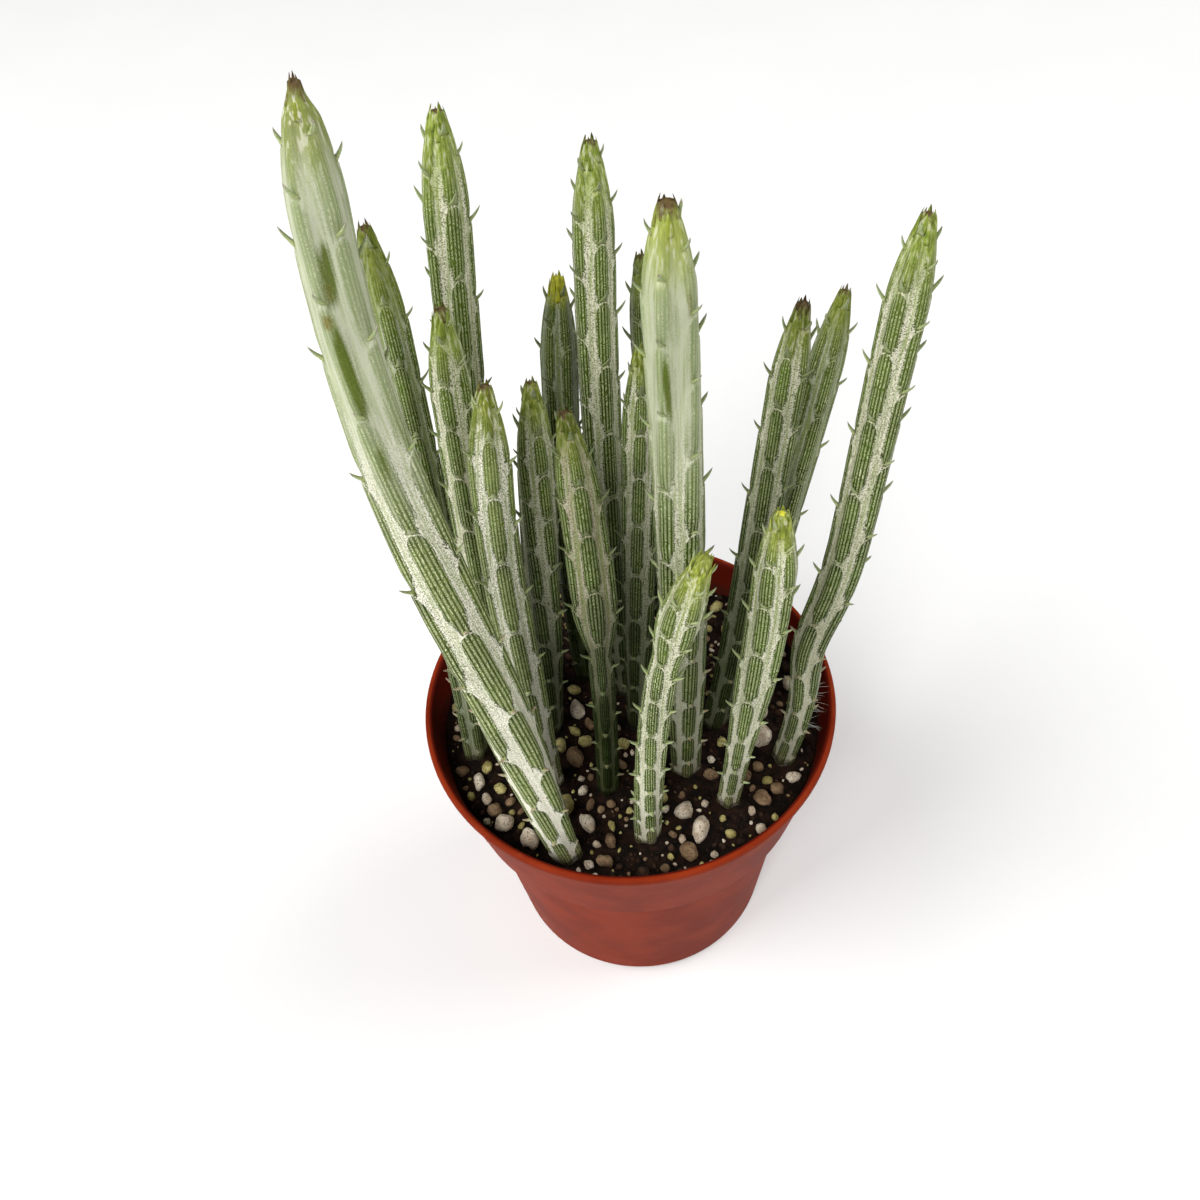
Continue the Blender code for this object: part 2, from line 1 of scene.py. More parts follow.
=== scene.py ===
import json
import math
import random
from collections import namedtuple
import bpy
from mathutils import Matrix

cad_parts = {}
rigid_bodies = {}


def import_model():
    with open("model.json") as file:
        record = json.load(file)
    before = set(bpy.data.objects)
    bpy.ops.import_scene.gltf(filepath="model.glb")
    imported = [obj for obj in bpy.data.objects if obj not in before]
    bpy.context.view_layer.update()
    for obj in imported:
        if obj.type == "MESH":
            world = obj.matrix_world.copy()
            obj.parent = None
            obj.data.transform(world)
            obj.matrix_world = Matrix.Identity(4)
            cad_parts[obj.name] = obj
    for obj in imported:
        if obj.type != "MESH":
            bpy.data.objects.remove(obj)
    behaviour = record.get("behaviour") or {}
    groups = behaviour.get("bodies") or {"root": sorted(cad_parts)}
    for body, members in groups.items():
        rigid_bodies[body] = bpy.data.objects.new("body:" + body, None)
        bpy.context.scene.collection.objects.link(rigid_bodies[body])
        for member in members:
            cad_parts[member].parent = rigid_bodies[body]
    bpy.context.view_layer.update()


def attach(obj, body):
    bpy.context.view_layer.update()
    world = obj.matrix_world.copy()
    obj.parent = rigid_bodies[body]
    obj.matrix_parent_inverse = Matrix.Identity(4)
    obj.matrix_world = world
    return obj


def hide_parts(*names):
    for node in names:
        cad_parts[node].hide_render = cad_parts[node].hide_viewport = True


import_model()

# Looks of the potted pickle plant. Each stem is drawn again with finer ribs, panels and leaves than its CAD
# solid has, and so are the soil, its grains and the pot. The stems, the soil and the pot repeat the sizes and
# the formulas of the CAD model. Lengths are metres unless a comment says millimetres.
from types import SimpleNamespace

import bmesh
import bpy
import numpy as np
from mathutils import Matrix, Vector, noise

MM = 0.001
FULL_TURN = 2.0 * math.pi
GAP = 0.3 * MM

# Pot: the outside of its wall, from the lip down
POT_HEIGHT = 83 * MM
LIP_RADIUS = 50 * MM
LIP_BEAD_HEIGHT = 2.2 * MM
LIP_BEAD_DEPTH = 0.5 * MM
BAND_HEIGHT = 28 * MM
BAND_FOOT_RADIUS = 44 * MM
BODY_TOP_RADIUS = 41.2 * MM
BASE_RADIUS = 35 * MM
BASE_ROUNDING = 1.2 * MM
EDGE_ROUNDING = 0.42 * MM
WALL = 1.2 * MM
FLOOR = 1.5 * MM
DRAIN_COUNT = 6
DRAIN_RADIUS = 3.5 * MM
DRAIN_CIRCLE = 24 * MM
DRAIN_CUT = 9 * MM
DRAIN_SIDES = 32
POT_STEPS = 144
CORNER = 0.35 * MM
CORNER_SHARE = 0.45
CORNER_STEPS = 4
SMOOTH_BELOW = math.radians(40)

# Soil: its level, the lumps and crumbs of its surface, and how finely it is drawn
SOIL_LEVEL = POT_HEIGHT - 9 * MM
LUMPS = ((1.1 * MM, 9 * MM), (0.55 * MM, 4 * MM))
FINE_CRUMBS = ((0.5 * MM, 1.9 * MM), (0.28 * MM, 0.8 * MM))
EDGE_DIP = 0.8 * MM
EDGE_DIP_POWER = 6
SOIL_RINGS = 74
SOIL_STEPS = 230

# How grains are scattered: their sizes run from small to large. Where power is above 1 most are small, and
# the large ones lie on the thick side
Scatter = namedtuple("Scatter", "seed small large power tries")

# Large grains lie where the CAD model has them
GRAINS = Scatter(seed=11, small=1.5 * MM, large=3.4 * MM, power=1.0, tries=4000)
GRAIN_COUNT = 42
GRAIN_FLATNESS = (0.6, 0.95)
GRAIN_ROUGHNESS = (0.86, 1.1)
GRAIN_TILT = 0.4
GRAIN_SUNK = 0.22
GRAIN_REACH = 1.15
GRAIN_THICK_SIDE = math.radians(210)
GRAIN_LEAST_CHANCE = 0.25
GRAIN_THIN_SIDE_CHANCE = 0.35
GRAIN_CUTS = 3
GRAIN_SMOOTHING = 0.35
GRAIN_PITS = ((0.2, 0.8), (0.1, 0.3))

# More pumice in two places by the rim, where it lies thickest. A sector has two angles in degrees and a count
CHUNKS = Scatter(seed=41, small=1.0 * MM, large=3.0 * MM, power=1.0, tries=4000)
CHUNK_SECTORS = ((160, 258, 75), (280, 340, 24))

# Small grains and crumbs between them. Each is a soil crumb with SOIL_CHANCES more chances than a stone
CRUMBS = Scatter(seed=23, small=0.35 * MM, large=3.4 * MM, power=1.4, tries=20000)
CRUMB_COUNT = 800
CRUMB_ROUGHNESS = (0.74, 1.16)
CRUMB_CUTS = 1
SOIL_CHANCES = 2

# Stems: the rows of panels on the ribs
RIBS = 5
PANEL_SHORT_AT_ENDS = 0.35
FIRST_PANEL_LEAST = 0.25
LAST_PANEL = 2.8 * MM
STEP_HEIGHT = 0.9 * MM
CREST_TOP = 1.05
CREST_BOTTOM = 0.94
GROOVE = 0.85
PANEL_HALF = (0.44, 0.40)
PANEL_NARROWS = (0.2, 0.9)
PANEL_ARCH = 2.3
PANEL_QUICK_RISE = 0.55
PANEL_QUICK_LENGTH = 0.22

# Stems: the taper towards the top, and the blunt tip
TAPER_FROM = 0.45
TAPER_TO = 0.95
TIP_LENGTH = 20 * MM
TIP_WIDTH_SHARE = 0.20
TIP_FULLNESS = 0.95
CLOSED_HEIGHTS = (2.5 * MM, 6.5 * MM)
CENTRE_SAMPLES = 48
LOWEST_SAMPLES = CENTRE_SAMPLES // 6
COUNT_SAMPLES = 4001
BODY_SUNK = 5 * MM
BODY_TOP = 1.6 * MM
BODY_POINT = 1.0 * MM
RELIEF_ENDS = (1.5 * MM, 5 * MM)
RING_SPACING = 0.6 * MM
RIB_COLUMNS = 14
WOBBLE = 0.012
WOBBLE_SIZE = 6 * MM

# Leaves: how far each stands out of its rib, how steeply, and how much room it leaves
LEAF_SEED = 5
LEAF_REACH_LOW = 1.6 * MM
LEAF_REACH_HIGH = 3.0 * MM
LEAF_REACH_TIP = 2.2 * MM
LEAF_LENGTHENS = (0.1, 0.6)
LEAF_UNEVENNESS = 0.18
LEAF_SHORTEST = 0.6 * MM
LEAF_SHRINK = 0.8
LEAF_CLEARANCE = 0.6 * MM
LEAF_CLEARANCE_SHARE = 0.7
LEAF_ROOT_HEIGHT = 0.36 * MM
LEAF_RISE_LOW = math.radians(30)
LEAF_RISE_HIGH = math.radians(58)
LEAF_RISE_TIP = math.radians(84)
LEAF_STEEPENS = (0.0, 0.7)
LEAF_FREE_HEIGHT = 5 * MM

# The blade of a leaf: its half width and half thickness from root to tip, and how it hooks upward
BLADE_SIDES = 8
BLADE_HALF_WIDTHS = (0.85, 0.58, 0.46, 0.42, 0.38, 0.30, 0.18, 0.04)
BLADE_HALF_DEPTHS = (0.36, 0.30, 0.25, 0.22, 0.19, 0.15, 0.10, 0.03)
BLADE_FULL_REACH = 2.6 * MM
BLADE_LEAST_SIZE = 0.55
BLADE_IN = 0.4 * MM
BLADE_HOOK = math.radians(9)
BLADE_HOOK_SHARE = 0.55
BLADE_KEPT = 0.985

# The young leaves that lie round each tip and close over it as a jagged point
CROWN_SEED = 31
GOLDEN_TURN = math.radians(137.5)
CROWN_DEEPEST = 5.8 * MM
CROWN_SHALLOWEST = 2.6 * MM
CROWN_REACH = (0.62, 0.90)
CROWN_UNEVENNESS = 0.1
CROWN_RADII = (0.88, 0.99, 0.90)
CROWN_FULL_RADIUS = 2.9 * MM
CROWN_HALF_WIDTHS = (0.70, 0.82, 0.80, 0.72, 0.60, 0.45, 0.27, 0.05)

# Marks on the leaf value: the skin is 0, an ordinary leaf runs from 1 to 2, a crown leaf from 3 to 4 and a
# hair from 5 to 6
LEAF_MARK = 1.0
CROWN_MARK = 3.0
HAIR_MARK = 5.0

# Fine white root hairs low on one side of one stem: angles in degrees
HAIR_SEED = 3
HAIRY_STEM = "stem_right_leaning"
HAIR_COUNT = 24
HAIR_ANGLES = (60, 118)
HAIR_HEIGHTS = (8 * MM, 26 * MM)
HAIR_REACH = (1.6 * MM, 3.6 * MM)
HAIR_SIZE = 0.06
HAIR_LIFT = (-0.3, 0.5)
HAIR_DROOP = 0.6

# How strongly every material's bump shows
BUMP_STRENGTH = 0.7

# One stem, as in the CAD model. foot, head, bow and sway are millimetres; low and high are widths in
# millimetres, and widens the shares of the height between which it changes; facing and twist are degrees;
# panel is the mean panel length in millimetres, and spiral and lead say how panels step from rib to rib;
# bend and neck have a share of the height, a length and a depth. The table's columns are the fields in order.
Stem = namedtuple(
    "Stem",
    "name foot head bow low high facing twist panel spiral lead widens sway bend neck taper",
    defaults=((0.0, 0.4), 0.0, None, None, 0.06),
)

STEMS = (
    Stem("stem_left_leaning", (-18, -36), (-36.5, -21, 253), -5.5, 6.4, 11.2, 74, -115, 19.0, 3, 0,
         widens=(-0.12, 0.3), sway=1.6, taper=0.24),
    Stem("stem_left_behind", (-38.8, -6), (-38, 9, 213), 1.2, 6.6, 7.8, 30, -20, 14.4, 3, 4),
    Stem("stem_back_left_tall", (-32, 9), (-24, 22, 225), -1.0, 7.0, 9.2, 10, 16, 16.4, 3, 4),
    Stem("stem_back_left_short", (-29.5, -6), (-27, 1, 201), -0.8, 6.2, 8.2, 0, -18, 11.0, 2, 2,
         widens=(0.0, 0.5)),
    Stem("stem_front_left", (-21, -17), (-21, -7, 190), -2.3, 7.0, 8.6, 10, -5, 14.9, 2, 1, sway=0.4),
    Stem("stem_middle_left", (-20, -1), (-14, 11, 175), 0.0, 6.4, 8.4, 92, -85, 10.8, 3, 4),
    Stem("stem_back_yellow_tip", (-10, 15), (-7, 27, 187), -1.7, 6.6, 8.2, 30, 2, 15.1, 3, 4),
    Stem("stem_back_tall", (-1, 9), (1, 24, 216), -1.4, 6.8, 8.6, 24, -3, 12.7, 3, 1),
    Stem("stem_middle_necked", (-7, -20), (-8, -10, 185), 1.6, 5.4, 10.0, -8, 20, 12.5, 2, 3,
         widens=(0.41, 0.58), neck=(0.43, 0.022, 0.10), taper=0.2),
    Stem("stem_back_hidden", (10, 15), (9, 27, 190), 1.0, 6.4, 7.6, 12, 18, 13.5, 3, 2),
    Stem("stem_middle_slim", (2, -2), (7, 9, 182), 0.0, 6.0, 7.6, -36, 40, 10.6, 2, 0),
    Stem("stem_pale_tall", (12, -16), (10, -16, 228), 0.4, 7.4, 9.8, -70, 50, 14.7, 2, 0,
         widens=(0.0, 0.35)),
    Stem("stem_front_short", (1, -33), (15, -28, 164), -3.5, 6.7, 8.7, 20, -85, 8.3, 3, 2,
         widens=(0.68, 0.8), sway=0.4, neck=(0.69, 0.035, 0.08), taper=0.0),
    Stem("stem_right_middle", (20.5, -4), (37, 8, 190), 1.2, 6.6, 8.0, 5, -46, 13.0, 3, 0, sway=0.3),
    Stem("stem_right_back", (29, 3), (47, 17, 185), -1.6, 6.6, 7.8, 20, -15, 14.0, 2, 4, sway=-0.5),
    Stem("stem_right_short", (21, -26), (30, -18, 163), 1.3, 5.5, 8.9, -12, -30, 11.2, 2, 4,
         widens=(0.1, 0.55), sway=-0.4, taper=0.0),
    Stem("stem_right_leaning", (36, -16), (53, -4, 214), 2.0, 5.8, 8.6, -40, -3, 13.8, 2, 4,
         widens=(0.0, 0.45), sway=0.6, bend=(0.28, 0.11, -2.9)),
)

# Colours, as red, green and blue from 0 to 255
SILVER = (224, 221, 196)
SILVER_PALE = (222, 220, 196)
SILVER_WASHED = (178, 183, 154)
SILVER_BEIGE = (200, 188, 164)
SILVER_GREEN = (156, 164, 132)
FLANK = (238, 235, 218)
MOTTLE = (92, 102, 50)
PANEL_DARK = (32, 46, 4)
PANEL_GREEN = (68, 92, 14)
PANEL_PALE = (126, 146, 62)
PANEL_WASHED = (112, 132, 72)
STITCH = (222, 226, 180)
SCAR = (190, 190, 136)
CAP_GREEN = (150, 166, 72)
CAP_OLIVE = (134, 142, 58)
CAP_YELLOW = (158, 168, 70)
STREAK_DARK = (78, 98, 18)
TIP_BROWN = (82, 56, 38)
TIP_YELLOW = (228, 222, 64)
LEAF_ROOT = (150, 162, 96)
LEAF_BLADE = (152, 170, 112)
LEAF_TIP = (136, 136, 108)
MAUVE_TIP = (138, 120, 118)
DRIED_LEAF = (160, 126, 104)
HAIR_WHITE = (214, 214, 204)
WOODY = (132, 114, 84)
# Painted shade: the colour that darkens stems deep in the plant and their lower halves
SHADE = (72, 84, 52)
SOIL_STAIN = (44, 32, 24)
BRIGHT_GREEN = (84, 100, 0)
RUST = (124, 112, 44)
POT_LIGHT = (130, 43, 15)
POT_DEEP = (112, 32, 8)
POT_SCUFF = (150, 76, 46)
POT_INSIDE = (78, 14, 8)
POT_DUST = (46, 32, 26)
PAPER = ((236, 236, 235), (232, 232, 231))

# Soil has a light, a dark and a speck colour; pumice has a light, a dark and a stained one
SOIL_MIX = ((34, 18, 9), (11, 5, 2), (96, 78, 54))
SOIL_CRUMB = ((60, 42, 30), (22, 14, 10), (98, 80, 60))
PUMICE = {
    "white": ((206, 194, 174), (164, 146, 124), (92, 72, 56)),
    "yellow": ((176, 166, 108), (130, 118, 66), (66, 54, 30)),
    "tan": ((134, 110, 82), (92, 70, 48), (50, 36, 26)),
}

# How one stem is coloured. pale washes its panels out towards the top, cap is how far the unmarked
# yellow-green end reaches down in millimetres, withered is how much of that is brown, crown is how many young
# leaves lie round the tip, spread is how far the outer of them lean out in degrees, the painted shade darkens
# the whole stem as shade falls on stems deep in the plant, the painted foot shade darkens its lower half,
# partly as shade between the stems and partly as the darker older base, and closed narrows its last
# millimetres.
Look = namedtuple(
    "Look",
    "silver panel pale cap cap_colour withered tip_colour crown spread leaf_tip shade foot_shade closed",
    defaults=(SILVER, PANEL_GREEN, 0.0, 9.0, CAP_GREEN, 1.6, TIP_BROWN, 11, 4.0, LEAF_TIP, 0.0, 0.35, 0.0),
)

LOOKS = {
    "stem_left_leaning": Look(
        silver=FLANK, pale=1.0, cap=12, cap_colour=CAP_OLIVE, withered=2.8, crown=6, spread=-8.0,
        leaf_tip=MAUVE_TIP, panel=(94, 110, 50), foot_shade=0.0, closed=0.36,
    ),
    "stem_left_behind": Look(silver=SILVER_GREEN, cap=16, cap_colour=CAP_OLIVE, shade=0.12),
    "stem_back_left_tall": Look(cap=14, withered=1.2),
    "stem_back_left_short": Look(cap=12, withered=1.8, spread=8.0),
    "stem_front_left": Look(silver=FLANK, panel=(104, 120, 58), cap=13, cap_colour=CAP_OLIVE, foot_shade=0.0),
    "stem_middle_left": Look(cap=11, cap_colour=CAP_YELLOW, withered=1.4, shade=0.08, foot_shade=0.65),
    "stem_back_yellow_tip": Look(
        silver=SILVER_GREEN, cap=6, cap_colour=TIP_YELLOW, withered=3.0, tip_colour=TIP_YELLOW, spread=8.0,
        shade=0.4, foot_shade=0.5,
    ),
    "stem_back_tall": Look(cap=15, shade=0.05, foot_shade=0.75),
    "stem_middle_necked": Look(silver=SILVER_BEIGE, cap=11, cap_colour=CAP_OLIVE, shade=0.25, foot_shade=0.7),
    "stem_back_hidden": Look(silver=SILVER_GREEN, cap=10, shade=0.3, foot_shade=0.4),
    "stem_middle_slim": Look(
        cap=8, cap_colour=CAP_YELLOW, tip_colour=CAP_YELLOW, withered=0.4, shade=0.15, foot_shade=0.7
    ),
    "stem_pale_tall": Look(
        silver=SILVER_PALE, pale=1.0, cap=13, cap_colour=CAP_YELLOW, withered=2.6, crown=8,
        leaf_tip=MAUVE_TIP,
    ),
    "stem_front_short": Look(
        silver=SILVER_PALE, cap=12, cap_colour=CAP_YELLOW, tip_colour=CAP_OLIVE, spread=24.0, foot_shade=0.0
    ),
    "stem_right_middle": Look(
        cap=11, cap_colour=CAP_OLIVE, withered=2.6, spread=8.0, shade=0.25, foot_shade=0.6
    ),
    "stem_right_back": Look(silver=SILVER_GREEN, cap=12, cap_colour=CAP_OLIVE, shade=0.1, foot_shade=0.4),
    "stem_right_short": Look(
        silver=SILVER_PALE, cap=9, cap_colour=CAP_YELLOW, withered=0.8, tip_colour=TIP_YELLOW, spread=16.0,
        foot_shade=0.1,
    ),
    "stem_right_leaning": Look(cap=14, shade=0.08, foot_shade=0.25),
}

# Blotches on the two pale stems: the facing angles in degrees and the heights in millimetres between which
# each runs, half its width in millimetres, and how strongly it is green and rusty
Blotch = namedtuple("Blotch", "angles heights half_width green rust")

BLOTCHES = {
    "stem_left_leaning": (
        Blotch((-2, 4), (149, 160), 1.3, 0.95, 0.0),
        Blotch((-4, -4), (150, 154), 1.0, 0.0, 0.5),
        Blotch((-22, -18), (146, 149), 0.9, 0.0, 0.9),
        Blotch((0, -10), (129, 148), 1.15, 1.0, 0.0),
        Blotch((5, 2), (118, 126), 0.9, 0.6, 0.0),
    ),
    "stem_pale_tall": (
        Blotch((-15, -24), (113, 129), 0.7, 0.95, 0.1),
        Blotch((36, 36), (134, 140), 0.5, 0.1, 0.6),
    ),
}
BLOTCH_POINTED = 1.2

VALUES = ("run", "below_tip", "panel_length", "panel_half", "leaf", "green", "rust")


def linear(colour):
    """Linear red, green, blue and alpha of a colour given from 0 to 255."""
    shares = (c / 255.0 for c in colour)
    return tuple(s / 12.92 if s <= 0.04045 else ((s + 0.055) / 1.055) ** 2.4 for s in shares) + (1.0,)


def unit(vectors):
    """The vectors, each made one long."""
    return vectors / np.linalg.norm(vectors, axis=-1, keepdims=True)


def smooth_step(low, high, value):
    """0 below low, 1 above high, and smooth between them."""
    share = np.clip((value - low) / (high - low), 0.0, 1.0)
    return share * share * (3.0 - 2.0 * share)


class Growth:
    """Where one stem's centreline, ribs, panels and leaves lie, as in the CAD model.

    A share is a height on the stem, from 0 at the soil to 1 at the tip. Shares and angles may be arrays.
    """

    def __init__(self, stem):
        self.stem = stem
        self.foot = np.array((stem.foot[0], stem.foot[1], SOIL_LEVEL / MM)) * MM
        self.rise = np.array(stem.head) * MM - self.foot
        self.sample_shares = np.arange(CENTRE_SAMPLES + 1) / CENTRE_SAMPLES
        self.samples = self.centre(self.sample_shares)
        self.length = float(np.linalg.norm(np.diff(self.samples, axis=0), axis=1).sum())
        self.panels = (self.length - LAST_PANEL) / (stem.panel * MM)
        self.rows = int(self.panels - FIRST_PANEL_LEAST)
        self.counts = np.linspace(-0.5, 1.5, COUNT_SAMPLES)
        eased = self.counts - PANEL_SHORT_AT_ENDS * np.sin(FULL_TURN * self.counts) / FULL_TURN
        self.count_shares = eased * (1.0 - LAST_PANEL / self.length)

    def centre(self, share):
        """Points of the centreline at shares of the stem's height."""
        stem = self.stem
        share = np.asarray(share, float)
        right = stem.bow * 4.0 * share * (1.0 - share) + stem.sway * np.sin(FULL_TURN * share)
        if stem.bend:
            height, length, knee = stem.bend
            right = right + knee * np.exp(-(((share - height) / length) ** 2))
        points = self.foot + self.rise * share[..., None]
        points[..., 0] += right * MM
        return points

    def along(self, share):
        """Directions of the centreline at shares of the stem's height."""
        step = 0.5 / CENTRE_SAMPLES
        share = np.asarray(share, float)
        return unit(self.centre(share + step) - self.centre(share - step))

    def out(self, share, angle):
        """Directions straight out of the stem: angle 0 faces the front, and it grows to the right."""
        along = self.along(share)
        right = unit(np.array((1.0, 0.0, 0.0)) - along * along[..., :1])
        back = np.cross(along, right)
        angle = np.asarray(angle, float)
        return right * np.sin(angle)[..., None] - back * np.cos(angle)[..., None]

    def radius(self, share):
        """Half the width across the ribs at shares of the height."""
        stem = self.stem
        share = np.asarray(share, float)
        wide = smooth_step(stem.widens[0], stem.widens[1], share)
        tapered = 1.0 - stem.taper * smooth_step(TAPER_FROM, TAPER_TO, share)
        width = (stem.low + (stem.high - stem.low) * wide) * tapered * MM
        if stem.neck:
            height, length, depth = stem.neck
            width = width * (1.0 - depth * np.exp(-(((share - height) / length) ** 2)))
        below_tip = np.clip((1.0 - share) * self.length / TIP_LENGTH, 0.0, 1.0)
        rounding = np.sin(0.5 * math.pi * below_tip) ** TIP_FULLNESS
        closing = LOOKS[stem.name].closed * (1.0 - smooth_step(*CLOSED_HEIGHTS, (1.0 - share) * self.length))
        return 0.5 * width * (TIP_WIDTH_SHARE + (1.0 - TIP_WIDTH_SHARE) * rounding) * (1.0 - closing)

    def rib_angle(self, rib, share):
        """Angle of a rib's crest at a share of the height. A half, such as 0.5, gives a groove."""
        return np.radians(self.stem.facing + self.stem.twist * share) + FULL_TURN * rib / RIBS

    def shift(self, rib):
        """How far a rib's panels are raised, in panels."""
        return (self.stem.spiral * rib + self.stem.lead) % RIBS / RIBS

    def panel_top(self, rib, row):
        """Height, as a share, of the top of a rib's panel."""
        count = (row - self.rows + self.shift(rib)) / self.panels + 1.0
        return float(np.interp(count, self.counts, self.count_shares))

    def phase(self, share, rib):
        """How many panels lie below a place on a rib. A whole number is the top of one."""
        count = np.interp(share, self.count_shares, self.counts)
        return (count - 1.0) * self.panels + self.rows - self.shift(rib)

    def panel_length(self, share):
        """Length of the panels at shares of the height."""
        count = np.interp(share, self.count_shares, self.counts)
        easing = 1.0 - PANEL_SHORT_AT_ENDS * np.cos(FULL_TURN * count)
        return easing * (self.length - LAST_PANEL) / self.panels

    def panel_half(self, share):
        """Half the width of the panels at shares of the height."""
        low, high = PANEL_HALF
        return self.radius(share) * (low + (high - low) * smooth_step(*PANEL_NARROWS, share))

    def relief(self, share, rib, across):
        """The skin's distance from the centreline, as a share of the radius, across a rib from -1 to 1."""
        length = self.panel_length(share)
        half = self.panel_half(share)
        side = np.abs(across) * 0.5 * FULL_TURN / RIBS * self.radius(share)
        arch = PANEL_ARCH * (half - np.sqrt(np.maximum(half**2 - side**2, 0.0)))
        inside = np.mod(self.phase(share, rib), 1.0)
        top = (1.0 - inside) * length - arch
        above = np.where(top < 0.0, -top, inside * length + arch)
        part = np.clip(above / length, 0.0, 1.0)
        quick = smooth_step(0.0, PANEL_QUICK_LENGTH, part)
        risen = PANEL_QUICK_RISE * quick + (1.0 - PANEL_QUICK_RISE) * part
        crest = CREST_BOTTOM + (CREST_TOP - CREST_BOTTOM) * risen
        crest = CREST_TOP + (crest - CREST_TOP) * smooth_step(0.0, STEP_HEIGHT, above)
        ribbed = GROOVE + (crest - GROOVE) * (0.5 + 0.5 * np.cos(math.pi * across))
        kept = smooth_step(*RELIEF_ENDS, (1.0 - share) * self.length)
        return 1.0 + (ribbed - 1.0) * kept

    def point(self, share, angle, radius):
        """Points at heights, directions and distances from the centreline."""
        return self.centre(share) + self.out(share, angle) * np.asarray(radius)[..., None]

    def near_tip(self, share):
        """0 below the tapered tip, and 1 at its end."""
        return 1.0 - smooth_step(0.0, TIP_LENGTH, (1.0 - share) * self.length)

    def leaf_rise(self, share):
        """How steeply a leaf stands: flat near the soil, upright at the tip."""
        rise = LEAF_RISE_LOW + (LEAF_RISE_HIGH - LEAF_RISE_LOW) * smooth_step(*LEAF_STEEPENS, share)
        return rise + (LEAF_RISE_TIP - rise) * self.near_tip(share)

    def leaf_reach(self, share):
        """How far a leaf stands out: short near the soil, where old leaves have dried, and at the tip."""
        if share * self.length < LEAF_FREE_HEIGHT:
            return LEAF_SHORTEST
        reach = LEAF_REACH_LOW + (LEAF_REACH_HIGH - LEAF_REACH_LOW) * smooth_step(*LEAF_LENGTHENS, share)
        return reach + (LEAF_REACH_TIP - reach) * self.near_tip(share)


class Skin:
    """Points and faces of one piece, with the values that its material reads."""

    def __init__(self):
        self.points = []
        self.faces = []
        self.values = {name: [] for name in VALUES}
        self.marks = []
        self.count = 0

    def add(self, points, faces, marks=None, **values):
        """Adds points and faces, numbered from 0. marks has two numbers for every corner of a face."""
        points = np.asarray(points, float).reshape(-1, 3)
        self.points.append(points)
        self.faces += [tuple(i + self.count for i in face) for face in faces]
        for name in VALUES:
            value = np.broadcast_to(np.asarray(values.get(name, 0.0), float).ravel(), (len(points),))
            self.values[name].append(value)
        corners = sum(len(face) for face in faces)
        self.marks.append(np.zeros((corners, 2)) if marks is None else marks.reshape(-1, 2))
        self.count += len(points)

    def mesh(self, name):
        """The mesh, closed and facing outward, with its values as attributes."""
        mesh = bpy.data.meshes.new(name)
        mesh.from_pydata(np.concatenate(self.points).tolist(), [], self.faces)
        for value_name, parts in self.values.items():
            attribute = mesh.attributes.new(value_name, "FLOAT", "POINT")
            attribute.data.foreach_set("value", np.concatenate(parts).astype(np.float32))
        layer = mesh.uv_layers.new(name="panel")
        layer.data.foreach_set("uv", np.concatenate(self.marks).astype(np.float32).ravel())
        face_outward(mesh)
        return mesh


def face_outward(mesh):
    """Turns every face outward and shades the mesh smooth."""
    work = bmesh.new()
    work.from_mesh(mesh)
    bmesh.ops.recalc_face_normals(work, faces=work.faces)
    work.to_mesh(mesh)
    work.free()
    mesh.shade_smooth()


def grid_faces(rings, columns):
    """Quads of rings of points that close on themselves."""
    low = np.arange(rings - 1)[:, None] * columns
    here = np.arange(columns)[None, :]
    there = (here + 1) % columns
    quads = np.stack((low + here, low + there, low + columns + there, low + columns + here), axis=-1)
    return [tuple(quad) for quad in quads.reshape(-1, 4).tolist()]


def blotch_amount(growth, share, angle, kind):
    """How strongly the stem's blotches of one kind show at shares of the height and facing angles."""
    height = share * growth.length / MM
    amount = np.zeros(np.broadcast(share, angle).shape)
    for blotch in BLOTCHES.get(growth.stem.name, ()):
        low, high = blotch.heights
        facing = np.radians(np.interp(height, blotch.heights, blotch.angles))
        turned = np.mod(angle - facing + math.pi, FULL_TURN) - math.pi
        across = turned * growth.radius(share) / MM / blotch.half_width
        along = (2.0 * height - low - high) / (high - low)
        amount = np.maximum(amount, getattr(blotch, kind) * np.exp(-(across**2) - BLOTCH_POINTED * along**4))
    return amount


